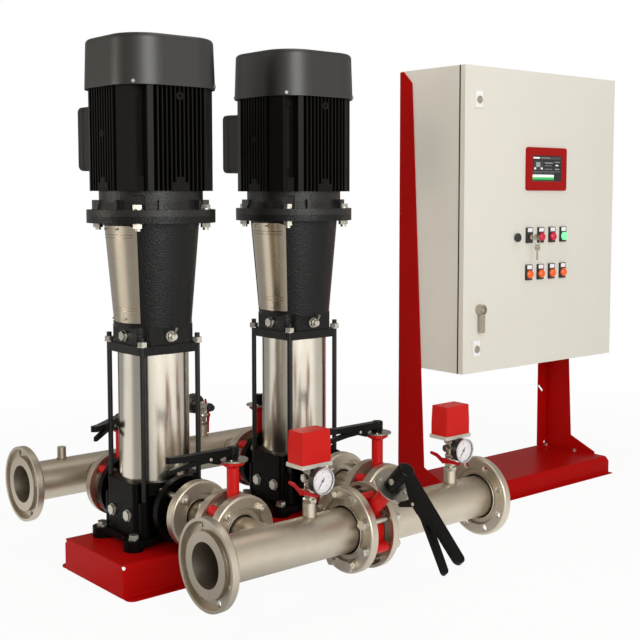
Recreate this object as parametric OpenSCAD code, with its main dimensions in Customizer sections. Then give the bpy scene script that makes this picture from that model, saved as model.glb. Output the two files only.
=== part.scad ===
// Fire pump set: two vertical multistage in-line pumps on a folded plinth, suction and discharge
// manifolds with butterfly valves, and a control cabinet on its own stand. Millimetres, +Z up.
// X runs along the manifolds, the discharge side is -Y. Inside the modules pump 1 stands on the
// Z axis; each node is then moved so that the origin is the middle of the footprint, on the floor.

/* [Layout] */
// Distance between the two pump axes
pump_pitch = 500; // [460:10:620]
// From the pump axes forward to the discharge manifold axis
discharge_y = 571; // [560:1:640]
// From the pump axes back to the suction manifold axis
suction_y = 381; // [375:1:460]
// From pump 1 to the left end face of the manifolds
manifold_left = 220; // [200:5:300]
// Length of a manifold between its end faces
manifold_len = 936; // [900:4:1100]
// From pump 1 to the middle of the section valve
section_x = 246; // [240:1:260]

/* [Plinth] */
// Height of the plinth
plinth_h = 88; // [70:1:140]
// From the pump axes to the front face of the plinth
plinth_front = 180; // [150:1:240]
// From the pump axes to the rear face of the plinth
plinth_rear = 135; // [130:1:200]
// How far the plinth stands out past each pump axis, along the row
plinth_over = 209; // [160:1:260]
// Width of the bolting lips at the floor
plinth_lip = 34; // [24:1:50]
// Sheet thickness of the plinth
plinth_t = 4; // [3:0.5:6]
// Diameter of the floor anchor holes
anchor_d = 12; // [9:0.5:16]

/* [Pump] */
// Height of the port axis above the feet
port_h = 105; // [100:1:130]
// Distance between the two port faces
port_span = 320; // [300:2:380]
// Spacing of the foot bolts along the row
foot_x = 240; // [220:2:280]
// Spacing of the foot bolts front to back
foot_y = 170; // [150:2:200]
// Diameter of a foot pad
foot_pad = 54; // [46:1:60]
// Thickness of the foot flange at the pads
foot_t = 30; // [24:1:36]
// Diameter of the foot bolts
foot_bolt = 16; // [12:2:16]
// Height of the base casting above the feet
base_h = 175; // [170:1:190]
// Diameter of the stainless outer sleeve
sleeve_d = 195; // [185:1:200]
// Length of the outer sleeve
sleeve_len = 347; // [250:1:600]
// Wall of the outer sleeve
sleeve_t = 2.5; // [2:0.5:4]
// Number of pump stages
stages = 6; // [3:1:8]
// Side of the square on which the staybolts stand
stay_square = 175; // [172:1:184]
// Diameter of the staybolts
stay_d = 14; // [12:1:16]
// Side of the head plate
head_w = 190; // [186:1:210]
// Thickness of the head plate
head_t = 24; // [18:1:30]
// Height of the seal housing above the head plate
seal_h = 51; // [40:1:60]
// Height of the motor stool above the seal housing
stool_h = 278; // [240:1:320]
// Radius of the stool at its foot
stool_r0 = 107; // [100:1:112]
// Radius of the stool under its flange
stool_r1 = 131; // [120:1:136]

/* [Motor] */
// Diameter of the motor flange
motor_flange_d = 350; // [340:5:400]
// Bolt circle of the motor flange
motor_pcd = 300; // [290:5:310]
// Thickness of the stool flange, and of the motor flange
motor_flange_t = 18; // [14:1:24]
// Height of the drive end shield above its flange
shield_h = 50; // [40:1:70]
// Length of the finned frame
frame_len = 274; // [220:2:400]
// Half the width of the finned frame across its flats
frame_half = 148; // [140:1:149]
// Radius of the frame's rounded corners
frame_corner = 96; // [80:1:110]
// Distance between two fins
fin_pitch = 13.3; // [12:0.1:14]
// Thickness of a fin
fin_t = 4; // [3:0.5:6]
// Half the width of the fan cover across its flats
cover_half = 155; // [152:1:160]
// Radius of the fan cover's rounded corners
cover_corner = 100; // [85:1:110]
// Height of the fan cover
cover_h = 132; // [110:1:160]

/* [Pipework] */
// Outside diameter of the manifold pipe
main_od = 114.3; // [110:0.1:116]
// Outside diameter of the branch pipe
branch_od = 76.1; // [73:0.1:80]
// Wall of the pipes
pipe_t = 2.6; // [2:0.1:4]
// Diameter of the manifold flanges
main_flange_d = 220; // [215:1:230]
// Depth of the manifold flanges
main_flange_t = 22; // [20:1:28]
// Diameter of the branch flanges and of the pump flanges
branch_flange_d = 185; // [180:1:190]
// Depth of the branch flanges
branch_flange_t = 26; // [22:1:30]
// From the rim of a flange in to its bolt circle
flange_edge = 20; // [18:0.5:22]
// Diameter of the flange bolts
flange_bolt = 16; // [14:1:16]
// Length of the wafer check valves, with their gaskets
check_len = 46; // [44:1:60]
// Length of the branch butterfly valves
valve_len = 46; // [44:1:52]
// Length of the section butterfly valve
section_len = 52; // [50:1:60]

/* [Valve levers] */
// Reach of a branch valve lever
lever_len = 198; // [180:1:220]
// Reach of the section valve lever
section_lever_len = 259; // [240:1:280]
// Height of a branch valve ratchet plate above the pipe axis
ratchet_h = 175; // [165:1:185]
// Height of the section valve ratchet plate above the pipe axis
section_ratchet_h = 183; // [178:1:195]
// How far the section valve leans forward, degrees
section_tilt = 45; // [30:1:60]

/* [Instruments] */
// From pump 1 to the front instrument of its side, and from pump 2 to the other
gauge_x = 90; // [80:1:110]
// From pump 1 to the rear instrument
rear_gauge_x = 416; // [400:1:430]
// Diameter of a gauge case
gauge_d = 66; // [60:1:70]
// Width of the pressure switch cover
switch_w = 91; // [80:1:100]
// Depth of the pressure switch cover
switch_d = 60; // [54:1:66]
// Height of the pressure switch cover
switch_h = 80; // [70:1:90]

/* [Cabinet] */
// Width of the cabinet
cab_w = 800; // [700:10:900]
// Height of the cabinet
cab_h = 1000; // [900:10:1200]
// Depth of the cabinet body
cab_d = 270; // [250:5:320]
// From the floor to the underside of the cabinet
cab_z = 454; // [400:2:520]
// From pump 1 to the left side of the cabinet
cab_x = 1050; // [1000:5:1200]
// Thickness of the door
door_t = 20; // [18:1:24]
// Sheet thickness of the cabinet
cab_t = 2; // [1.5:0.5:3]
// Distance from one lamp to the next
lamp_pitch = 61; // [56:1:70]

/* [Stand] */
// Height of the stand base
stand_h = 60; // [50:1:80]
// From the pump axes forward to the stand's front face
stand_front = 196; // [190:1:215]
// From the pump axes back to the stand's rear face
stand_rear = 104; // [104:1:140]
// Width of the floor lips of the stand
stand_lip = 18; // [14:1:30]
// Sheet thickness of the stand
stand_t = 3; // [2:0.5:4]
// Width of an upright where it meets the base gusset
upright_w = 125; // [110:1:140]
// Width of the rear flange of an upright
upright_flange = 52; // [45:1:60]

/* [Hidden] */
$fn = 48;
gap = 0.3; // free gap between pieces that move past each other
fit = 0.08; // radial clearance of a running fit
axis_z = plinth_h + port_h;
pumps = [0, pump_pitch];
anchor_y = [-plinth_front - plinth_lip / 2 - 2, plinth_rear + plinth_lip / 2 + 2];

// Heights of the pump, above the floor
z_base = plinth_h + base_h;
z_head = z_base + sleeve_len;
z_seal = z_head + head_t;
z_stool = z_seal + seal_h;
z_flange = z_stool + stool_h;
z_motor = z_flange + motor_flange_t;
z_shield = z_motor + motor_flange_t;
z_frame = z_shield + shield_h;
z_cover = z_frame + frame_len;
z_top = z_cover + cover_h;

// Places along the branches, measured away from the pump axis
y_port = port_span / 2;
y_spool = y_port + check_len;
y_valve1 = discharge_y - 219;
y_valve1_end = y_valve1 + valve_len;
y_suct = y_port + valve_len;

// Bare pipe ends carry collars that the loose flanges pull on
main_pcd = main_flange_d - 2 * flange_edge;
branch_pcd = branch_flange_d - 2 * flange_edge;
collar_step = 11; // from the bolt circle in to the collar
main_collar = main_pcd - 2 * collar_step;
branch_collar = branch_pcd - 2 * collar_step;
collar_t = 6;
neck = flange_bolt + 2; // flange holes

// Middle of the footprint
section_lever_top = section_ratchet_h + 75;
reach_y = discharge_y + section_lever_top * sin(section_tilt)
    + section_lever_len * cos(section_tilt);
x_right = cab_x + cab_w + stand_t + 0.5;
mid_x = (x_right - manifold_left) / 2;
mid_y = (suction_y + main_flange_d / 2 - reach_y) / 2;

module set() translate([-mid_x, -mid_y, 0]) children();
module each_pump() for (x = pumps) translate([x, 0, 0]) children();
module along_y() rotate([-90, 0, 0]) children();
module along_x() rotate([0, 90, 0]) children();
module corners(a, b) for (x = [-a, a] / 2, y = [-b, b] / 2) translate([x, y, 0]) children();
module ring(n, r, a0 = 0) for (i = [0:n - 1]) rotate(a0 + i * 360 / n) translate([r, 0, 0]) children();
module tube(ro, ri, h) difference() {
    cylinder(r = ro, h = h);
    translate([0, 0, -1]) cylinder(r = ri, h = h + 2);
}
module hex(af, h) cylinder(d = af / cos(30), h = h, $fn = 6);
module block(w, d, h, r = 4) linear_extrude(h) polygon(rrect(w, d, r));

function arc(c, r, a0, a1, n = 5) = [for (i = [0:n]) let (a = a0 + (a1 - a0) * i / n)
    c + r * [cos(a), sin(a)]];
function rrect(w, d, r) = concat(
    arc([w / 2 - r, d / 2 - r], r, 0, 90), arc([r - w / 2, d / 2 - r], r, 90, 180),
    arc([r - w / 2, r - d / 2], r, 180, 270), arc([w / 2 - r, r - d / 2], r, 270, 360));

// Outline of a sheet of thickness t that is bent along the points p, with an inside radius r
function unit(v) = v / norm(v);
function left(v) = [-v[1], v[0]];
function edge(p, i) = unit(p[i + 1] - p[i]);
function side(p, h) = [for (i = [0:len(p) - 1])
    i == 0 ? p[0] + h * left(edge(p, 0)) :
    i == len(p) - 1 ? p[i] + h * left(edge(p, i - 1)) :
    let (a = left(edge(p, i - 1)), b = left(edge(p, i))) p[i] + h * (a + b) / (1 + a * b)];
function turn(a, b) = atan2(a[0] * b[1] - a[1] * b[0], a * b);
function bends(p, h, r, n = 4) = let (q = side(p, h)) concat([q[0]],
    [for (i = [1:len(q) - 2]) let (a = edge(q, i - 1), b = edge(q, i), w = turn(a, b), s = sign(w),
        ri = r - s * h, c = q[i] - a * ri * tan(abs(w) / 2) + left(a) * s * ri)
        for (k = [0:n]) let (u = w * k / n, v = -left(a) * s * ri)
            c + [v[0] * cos(u) - v[1] * sin(u), v[0] * sin(u) + v[1] * cos(u)]], [q[len(q) - 1]]);
function sheet(p, t, r) = let (a = bends(p, t / 2, r), b = bends(p, -t / 2, r))
    concat(a, [for (i = [len(b) - 1:-1:0]) b[i]]);

// Bolts and nuts along +Z, the head's seat at z = 0
module hex_bolt(d, len) {
    translate([0, 0, -3]) cylinder(d = d * 1.9, h = 3);
    translate([0, 0, -3 - d * 0.64]) hex(d * 1.5, d * 0.64);
    cylinder(d = d, h = len);
}
module pan_screw(d, len) {
    cylinder(d = d, h = len);
    translate([0, 0, -d * 0.5]) cylinder(d = d * 2, h = d * 0.5);
}

// Base plinth: folded hat section with closed ends
module plinth_profile() let (a = plinth_front, b = plinth_rear, t = plinth_t)
    polygon(sheet([[-a - plinth_lip, t / 2], [-a + t / 2, t / 2], [-a + t / 2, plinth_h - t / 2],
        [b - t / 2, plinth_h - t / 2], [b - t / 2, t / 2], [b + plinth_lip, t / 2]], t, 6));
plinth_len = pump_pitch + 2 * plinth_over;
module plinth() color("firebrick") set() difference() {
    union() {
        translate([-plinth_over, 0, 0]) rotate([90, 0, 90]) linear_extrude(plinth_len) plinth_profile();
        for (x = [-plinth_over, pump_pitch + plinth_over - plinth_t])
            translate([x, -plinth_front + plinth_t, 0])
                cube([plinth_t, plinth_front + plinth_rear - 2 * plinth_t, plinth_h - plinth_t]);
    }
    for (x = [-plinth_over, pump_pitch + plinth_over], y = [-plinth_front, plinth_rear])
        translate([x, y, plinth_h - 8]) rotate([0, 90, sign(x) * sign(y) * 45])
            cylinder(d = 11, h = 24, center = true);
    for (x = [-plinth_over, pump_pitch + plinth_over],
        y = [-plinth_front - plinth_lip, plinth_rear + plinth_lip])
        translate([x, y, -1]) corner_cut(20, x < 0 ? 1 : -1, y < 0 ? 1 : -1, plinth_t + 2);
    for (x = pumps, y = anchor_y) translate([x, y, -1]) cylinder(d = anchor_d, h = plinth_t + 2);
    each_pump() corners(foot_x, foot_y) translate([0, 0, plinth_h - plinth_t - 1])
        cylinder(d = foot_bolt + 2, h = plinth_t + 2);
}
// Rounds an outer corner of radius r whose material lies toward (sx, sy)
module corner_cut(r, sx, sy, h) difference() {
    translate([sx > 0 ? -1 : -r, sy > 0 ? -1 : -r, 0]) cube([r + 1, r + 1, h]);
    translate([sx * r, sy * r, -1]) cylinder(r = r, h = h + 2);
}

// Cabinet stand
stand_x = cab_x - 0.5 - stand_t;
stand_w = x_right - stand_x;
top_z = cab_z + cab_h - 2;
foot_bolt_x = [stand_x + 30, x_right - 30];
foot_bolt_y = [stand_rear - 30, stand_rear - 165];
module stand_base() color("firebrick") set()
let (a = stand_front, b = stand_rear, t = stand_t, h = stand_h) difference() {
    union() {
        translate([stand_x, 0, 0]) rotate([90, 0, 90]) linear_extrude(stand_w)
            polygon(sheet([[-a - stand_lip, t / 2], [-a + t / 2, t / 2], [-a + t / 2, h - 15],
                [-a + 15, h - t / 2], [b - t / 2, h - t / 2], [b - t / 2, t / 2],
                [b + stand_lip, t / 2]], t, 3));
        for (x = [stand_x, x_right - t]) translate([x, -a + 16, 0]) cube([t, a + b - 16 - t, h - t]);
    }
    for (x = foot_bolt_x, y = foot_bolt_y) translate([x, y, h - t - 1]) cylinder(d = 9, h = t + 2);
    for (x = [stand_x + 24, x_right - 24], y = [-a - stand_lip / 2 - 1, b + stand_lip / 2 + 1])
        translate([x, y, -1]) cylinder(d = 9, h = t + 2);
}
cab_bolt_z = [cab_z + 60, cab_z + cab_h - 60];

// One upright: tapered web with a gusset, rear flange and foot flange; stands at x = 0 inward
module upright() let (r = stand_rear, t = stand_t, z = stand_h, w = upright_w) difference() {
    union() {
        rotate([90, 0, 90]) linear_extrude(t) polygon([[r, z], [r, top_z], [r - 16, top_z],
            [r - 57, top_z - 40], [r - w, z + 55], [r - w - 110, z + 8], [r - w - 112, z]]);
        translate([t / 2, r - t, z]) cube([upright_flange - t / 2, t, top_z - z]);
        translate([t / 2, r - w - 110, z]) cube([50, w + 110 - t / 2, t]);
    }
    translate([8, r, z + 8]) rotate([90, 0, 0]) cylinder(d = 10, h = 30, center = true);
    translate([36, r - t / 2, z + 225]) rotate([0, -45, 0]) cube([36, t + 2, 9], center = true);
    for (y = foot_bolt_y) translate([30, y, z - 1]) cylinder(d = 9, h = t + 2);
    for (h = cab_bolt_z) translate([30, r + 1, h]) rotate([90, 0, 0]) cylinder(d = 9, h = t + 2);
}
module uprights() color("firebrick") set() {
    translate([stand_x, 0, 0]) upright();
    translate([x_right, 0, 0]) mirror([1, 0, 0]) upright();
}

// Cabinet
cab_rear = stand_rear - stand_t;
cab_front = cab_rear - cab_d;
door_gap = 2;
door_y = cab_front - door_gap - door_t;
rim = 24;
hinge_x = cab_x + cab_w - 6;
hinge_y = door_y + 7;
hinge_z = [for (f = [0.12, 0.5, 0.88]) cab_z + cab_h * f];
hinge_arm = 14;
hinge_pin = 5;
module cabinet_body() color("gainsboro") set() {
    difference() {
        translate([cab_x, cab_front, cab_z]) cube([cab_w, cab_d, cab_h]);
        translate([cab_x + cab_t, cab_front + cab_t, cab_z + cab_t])
            cube([cab_w - 2 * cab_t, cab_d - 2 * cab_t, cab_h - 2 * cab_t]);
        translate([cab_x + rim, cab_front - 1, cab_z + rim])
            cube([cab_w - 2 * rim, cab_t + 2, cab_h - 2 * rim]);
        for (x = foot_bolt_x, z = cab_bolt_z) translate([x, cab_rear + 1, z]) rotate([90, 0, 0])
            cylinder(d = 9, h = cab_t + 2);
    }
    for (x = [cab_x + rim, cab_x + cab_w - rim - cab_t]) translate([x, cab_front + cab_t / 2, cab_z + rim])
        cube([cab_t, 12, cab_h - 2 * rim]);
    for (z = hinge_z) translate([hinge_x, hinge_y, z]) {
        translate([-9, 0, -hinge_arm / 2]) cube([9, cab_front - hinge_y + cab_t / 2, hinge_arm]);
        cylinder(d = hinge_pin + 2, h = hinge_arm, center = true);
        cylinder(d = hinge_pin, h = hinge_arm + 10, center = true);
    }
}
plate_off = 18;
plate_edge = 40;
plate_y = cab_rear - cab_t - plate_off;
rail_z = [for (f = [0.26, 0.48, 0.7]) cab_z + cab_h * f];
module plate_corners() for (x = [cab_x + plate_edge + 20, cab_x + cab_w - plate_edge - 20],
    z = [cab_z + plate_edge + 20, cab_z + cab_h - plate_edge - 20]) translate([x, plate_y, z]) children();
module mounting_plate() color("lightgray") set() {
    difference() {
        translate([cab_x + plate_edge, plate_y, cab_z + plate_edge])
            cube([cab_w - 2 * plate_edge, 2.5, cab_h - 2 * plate_edge]);
        plate_corners() translate([0, 5, 0]) rotate([90, 0, 0]) cylinder(d = 8, h = 8);
    }
    plate_corners() translate([0, 2.5, 0]) rotate([-90, 0, 0]) cylinder(d = 12, h = plate_off - 2.5);
    for (z = rail_z) translate([cab_x + 110, plate_y - 8, z]) cube([cab_w - 220, 8.5, 35]);
    for (k = [0:1], i = [0:5 - 2 * k]) translate([cab_x + 130 + i * (k == 0 ? 56 : 90),
        plate_y - 80, rail_z[k] - 22]) cube([k == 0 ? 45 : 76, 72.5, 80 + 20 * k]);
}

// Fittings of the door, from its lower left corner
hmi_at = [cab_w / 2 + 10, cab_h - 327];
row_z = [hmi_at[1] - 232, hmi_at[1] - 359];
lamp_x = [for (i = [0:3]) hmi_at[0] - 87 + lamp_pitch * i];
button_x = lamp_x[0] - 63;
lock_x = 66;
lock_at = [[lock_x, cab_h - 108], [lock_x, 78]];
handle_at = [76, 208];
hole_d = 22.4;
module on_door(p, depth = 0) translate([cab_x + p[0], door_y + depth, cab_z + p[1]])
    rotate([90, 0, 0]) children();
module cabinet_door() color("gainsboro") set() difference() {
    union() {
        difference() {
            translate([cab_x, door_y, cab_z]) cube([cab_w, door_t, cab_h]);
            translate([cab_x + cab_t, door_y + cab_t, cab_z + cab_t])
                cube([cab_w - 2 * cab_t, door_t, cab_h - 2 * cab_t]);
        }
        for (z = hinge_z, s = [-1, 1])
            translate([hinge_x - 6, door_y + cab_t / 2, z + s * (hinge_arm / 2 + 2.9) - 2]) cube([9, 9.5, 4]);
        for (p = lock_at) on_door(p) translate([-24, -28, 0]) cube([48, 56, 2]);
    }
    for (z = hinge_z) {
        translate([hinge_x, hinge_y, z]) cylinder(r = hinge_pin / 2 + fit, h = hinge_arm + 16, center = true);
        translate([hinge_x - 3, hinge_y - 4, z - hinge_arm / 2 - 1]) cube([12, door_t, hinge_arm + 2]);
    }
    on_door(hmi_at, 10) translate([-90, -58, 0]) cube([180, 116, 20]);
    for (p = lock_at) on_door(p, 10) cylinder(r = 11 + fit, h = 20);
    on_door(handle_at, 10) cylinder(r = 9 + fit, h = 20);
    for (x = lamp_x, z = row_z) on_door([x, z], 10) cylinder(d = hole_d, h = 20);
    on_door([button_x, row_z[0]], 10) cylinder(r = 8 + fit, h = 20);
}
module hmi_panel() color("crimson") set() on_door(hmi_at) difference() {
    union() {
        linear_extrude(7) polygon(rrect(215, 147, 9));
        translate([-89.7, -57.7, -32]) cube([179.4, 115.4, 32.5]);
    }
    translate([-77.5, -42, 5.5]) cube([155, 88, 3]);
}
// Quarter-turn lock: slotted head in front of the skin, shaft and cam behind it
module quarter_lock(r, head, cam) {
    difference() {
        translate([0, 0, 2.3]) cylinder(r = r + 1.5, h = head);
        translate([-1.5, -r * 0.6, head]) cube([3, r * 1.2, 3]);
    }
    translate([0, 0, -door_t - 4]) cylinder(r = r, h = door_t + 7);
    translate([-9, -9, -door_t - 7]) cube([18, cam, 3]);
}
module lock_upper() color("silver") set() on_door(lock_at[0]) quarter_lock(11, 2.5, 44);
module lock_lower() color("silver") set() on_door(lock_at[1]) quarter_lock(11, 2.5, 44);
module door_handle() color("silver") set() on_door(handle_at) {
    translate([0, 0, -door_t - 4]) cylinder(r = 9, h = door_t + 6);
    translate([-8, -8, -door_t - 7]) cube([16, 36, 3]);
    difference() {
        translate([0, 0, gap]) cylinder(r = 18, h = 20);
        translate([0, 0, 14]) cylinder(r = 13.5, h = 8);
        translate([4, -10, 10]) cylinder(d = 5, h = 12);
    }
    translate([0, 0, 14 - 1]) cylinder(r = 9, h = 5);
    translate([-9, -76, 9]) block_at(18, 62, 11.3);
}
module block_at(w, d, h) translate([w / 2, d / 2, 0]) block(w, d, h, 5);
module push_button() color("dimgray") set() on_door([button_x, row_z[0]]) {
    translate([0, 0, 5]) {
        cylinder(r = 14.5, h = 6);
        translate([0, 0, 5.9]) cylinder(r1 = 14.5, r2 = 12, h = 1.5);
    }
    translate([0, 0, -14]) cylinder(r = 8, h = 20);
    translate([0, 0, -16]) cylinder(r = 11, h = 2.2);
}
module key_switch() color("silver") set() on_door([lamp_x[0], row_z[0]], -8 - gap) {
    translate([0, 0, -5]) cylinder(r = 8, h = 11);
    translate([-1.1, -4, 5.5]) cube([2.2, 8, 12]);
    difference() {
        translate([-1.1, 0, 26]) rotate([0, 90, 0]) cylinder(r = 11, h = 2.2);
        translate([-2, 0, 31]) rotate([0, 90, 0]) cylinder(r = 3, h = 4);
    }
    // spare key, hanging on a ring through the bow
    translate([0, -14.7, 31]) rotate_extrude() translate([13, 0]) circle(r = 1, $fn = 24);
    difference() {
        translate([-1.1, -34.9, 31]) rotate([0, 90, 0]) cylinder(r = 11, h = 2.2);
        translate([-2, -29.9, 31]) rotate([0, 90, 0]) cylinder(r = 3.5, h = 4);
    }
    translate([-1.1, -77, 28]) cube([2.2, 30, 6]);
}
module lamp_holders() color("#26262a") set()
for (x = lamp_x, k = [0, 1]) on_door([x, row_z[k]]) difference() {
    union() {
        translate([-15, -20, 0]) cube([30, 53, 8]);
        translate([0, 0, -38]) cylinder(r = 11, h = 38.5);
        translate([-14, -14, -38]) cube([28, 28, 20]);
    }
    translate([-12.5, 17.5, 7]) cube([25, 13.5, 2]);
    if (k == 0 && x == lamp_x[0]) translate([0, 0, 3]) cylinder(r = 9, h = 6);
}
module lamp_lenses() color("orange") set() for (x = lamp_x, k = [0, 1]) if (k == 1 || x > lamp_x[0])
    on_door([x, row_z[k]], -8) {
        cylinder(r = 14, h = 6);
        translate([0, 0, 5.9]) cylinder(r1 = 14, r2 = 10, h = 4);
    }

// Pump base casting: foot flange, body, in-line ports with round flanges, staybolt lugs
lug_h = 125;
plug_y = [-41, 41];
plug_z = 84;
module pump_base() difference() {
    union() {
        difference() {
            translate([0, 0, 12]) block(foot_x + foot_pad, foot_y + foot_pad, foot_t - 12, foot_pad / 2);
            for (s = [-1, 1]) {
                translate([s * (foot_x / 2 + 150), 0, 0]) cylinder(r = 150, h = 60);
                translate([0, s * (foot_y / 2 + 122), 0]) cylinder(r = 122, h = 60);
            }
        }
        corners(foot_x, foot_y) cylinder(d = foot_pad, h = foot_t);
        translate([0, 0, 14]) block(220, 150, base_h - 14.5, 14);
        cylinder(r = 70, h = 40);
        translate([0, 0, base_h - 36]) cylinder(r = 110, h = 36);
        corners(stay_square, stay_square) translate([0, 0, 14]) cylinder(r = 16, h = lug_h - 14);
        for (s = [-1, 1]) translate([0, 0, port_h]) rotate([s * 90, 0, 0]) {
            cylinder(r = 50, h = y_port - 5);
            translate([0, 0, y_port - 45]) cylinder(r1 = 50, r2 = 56, h = 24.5);
            translate([0, 0, y_port - 21]) cylinder(d = branch_flange_d, h = 21);
        }
    }
    for (s = [-1, 1]) translate([0, 0, port_h]) rotate([s * 90, 0, 0]) {
        translate([0, 0, s > 0 ? 55 : 0]) cylinder(r = 32.5, h = 200);
        ring(4, branch_pcd / 2, 45) translate([0, 0, y_port - 22]) cylinder(d = neck, h = 30);
    }
    translate([0, 0, port_h]) cylinder(r = 40, h = base_h);
    translate([0, 0, base_h - 30]) tube(94, 81, 40);
    translate([0, -86, port_h]) cylinder(r = 6.4, h = base_h - port_h - 10);
    corners(foot_x, foot_y) translate([0, 0, -1]) cylinder(d = foot_bolt + 2, h = foot_t + 2);
    corners(stay_square, stay_square) {
        translate([0, 0, lug_h - 40]) cylinder(d = stay_d, h = 41);
        translate([0, 0, lug_h]) cylinder(r = 17, h = base_h);
    }
    for (s = [-1, 1], y = plug_y) translate([s * 112, y, plug_z]) rotate([0, -s * 90, 0])
        cylinder(r = 8, h = 22);
}
module pump_bases() color("#1c1c1a") set() each_pump() translate([0, 0, plinth_h]) pump_base();
module outer_sleeves() color("lightsteelblue") set() each_pump() translate([0, 0, z_base])
    tube(sleeve_d / 2, sleeve_d / 2 - sleeve_t, sleeve_len);

// Chambers: a stack of cups with a diaphragm under each impeller
stage_h = sleeve_len / stages;
chamber_r = 79;
shaft_r = 11;
module chambers() difference() {
    cylinder(r = chamber_r, h = sleeve_len);
    for (i = [0:stages - 1]) translate([0, 0, i * stage_h]) {
        translate([0, 0, 6]) cylinder(r = 68, h = stage_h - 9);
        translate([0, 0, 3]) for (a = [0:45:315]) rotate(a) translate([60, -4, 0]) cube([16, 8, stage_h - 6]);
    }
    translate([0, 0, -1]) cylinder(r = 26, h = sleeve_len + 2);
    for (a = [0:45:315]) rotate(a) translate([60, -10, sleeve_len - 30]) cube([40, 20, 22]);
}
module bearing_spider() {
    tube(18, shaft_r + fit, 14);
    ring(3, 17) translate([0, -2.5, 0]) cube([10, 5, 10]);
}
module chamber_stacks() color("silver") set() each_pump() translate([0, 0, z_base]) {
    chambers();
    bearing_spider();
}

// Pump head: square plate, seal housing with nut pockets, tapered motor stool with two windows
window_a = 41;
head_plug_z = z_seal + 23;
guard_z0 = z_stool + 9;
guard_z1 = z_flange - 7;
function stool_r(z) = stool_r0 + (stool_r1 - stool_r0) * (z - z_stool) / stool_h;
module stool_cone(z0, z1, inset) translate([0, 0, z0])
    cylinder(r1 = stool_r(z0) - inset, r2 = stool_r(z1) - inset, h = z1 - z0);
module cone_shell(z0, z1, inset, t) difference() {
    stool_cone(z0, z1, inset);
    stool_cone(z0 - 1, z1 + 1, inset + t);
}
module wedge(a, z0, z1) for (s = [0, 180]) rotate(s) translate([0, 0, z0]) linear_extrude(z1 - z0)
    polygon([[0, 0], 200 * [cos(a), -sin(a)], [200, -90], [200, 90], 200 * [cos(a), sin(a)]]);
module pump_head() difference() {
    union() {
        translate([0, 0, z_head]) block(head_w, head_w, head_t, 14);
        translate([0, 0, z_seal - 1]) block(head_w - 12, head_w - 12, seal_h + 1, 10);
        cone_shell(z_stool - 4, z_flange + 1, 0, 10);
        translate([0, 0, z_flange]) cylinder(d = motor_flange_d, h = motor_flange_t);
        translate([0, 0, z_stool - 1]) cylinder(r = 34, h = 12);
    }
    corners(stay_square, stay_square) {
        translate([0, 0, z_head - 1]) cylinder(r = stay_d / 2 + 0.5, h = head_t + 2);
        translate([0, 0, z_seal]) cylinder(r = 25, h = seal_h + 0.01);
    }
    translate([0, 0, z_head - 1]) cylinder(r = shaft_r + fit, h = 40);
    translate([0, 0, z_head + 20]) cylinder(r = 24, h = seal_h + 30);
    translate([0, 0, z_flange - 1]) cylinder(r = stool_r1 - 14, h = motor_flange_t + 2);
    wedge(34, z_stool + 28, z_flange - 22);
    intersection() {
        wedge(window_a, guard_z0, guard_z1);
        cone_shell(guard_z0, guard_z1, -20, 24.5);
    }
    ring(4, motor_pcd / 2, 45) translate([0, 0, z_flange - 1]) cylinder(d = 17.5, h = motor_flange_t + 2);
    for (a = [0:90:270]) rotate(a) translate([head_w / 2 - 20, 0, head_plug_z]) along_x()
        cylinder(r = 7, h = 22);
}
module pump_heads() color("#1c1c1a") set() each_pump() pump_head();
module stay_bolts() color("silver") set() each_pump() corners(stay_square, stay_square) {
    translate([0, 0, plinth_h + lug_h - 38]) cylinder(d = stay_d, h = z_seal + 26 - plinth_h - lug_h + 38);
    translate([0, 0, z_seal]) difference() {
        union() { cylinder(r = 13, h = 2); translate([0, 0, 2]) hex(24, 12); }
        translate([0, 0, -1]) cylinder(d = stay_d, h = 20);
    }
}
// Conical sheet guards in the window rebates, with two pairs of beads
bead_z = [z_flange - 32, z_flange - 40, z_stool + 50, z_stool + 42];
module coupling_guards() color("tan") set() each_pump() for (s = [0, 180]) rotate(s) {
    difference() {
        intersection() {
            cone_shell(guard_z0 + gap, guard_z1 - gap, 2.9, 1.5);
            intersection() {
                wedge(window_a - 0.3, guard_z0, guard_z1);
                translate([0, -200, 0]) cube([300, 400, 2000]);
                rotate([90, 0, 90]) linear_extrude(300) polygon([[-90, guard_z0 + 8], [-62, guard_z0 - 1],
                    [62, guard_z0 - 1], [90, guard_z0 + 8], [90, guard_z1 - 9], [62, guard_z1 + 1],
                    [-62, guard_z1 + 1], [-90, guard_z1 - 9]]);
            }
        }
        for (z = [guard_z0 + 11, guard_z1 - 9], y = [-28, 28]) guard_hole(z, y);
    }
    for (z = bead_z) rotate(-36) translate([0, 0, z]) rotate_extrude(angle = 72)
        translate([stool_r(z) - 3, 0]) circle(r = 1.3, $fn = 24);
}
module guard_hole(z, y) translate([60, y, z]) rotate([0, 90, 0]) cylinder(r = 2.6, h = 90);

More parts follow.
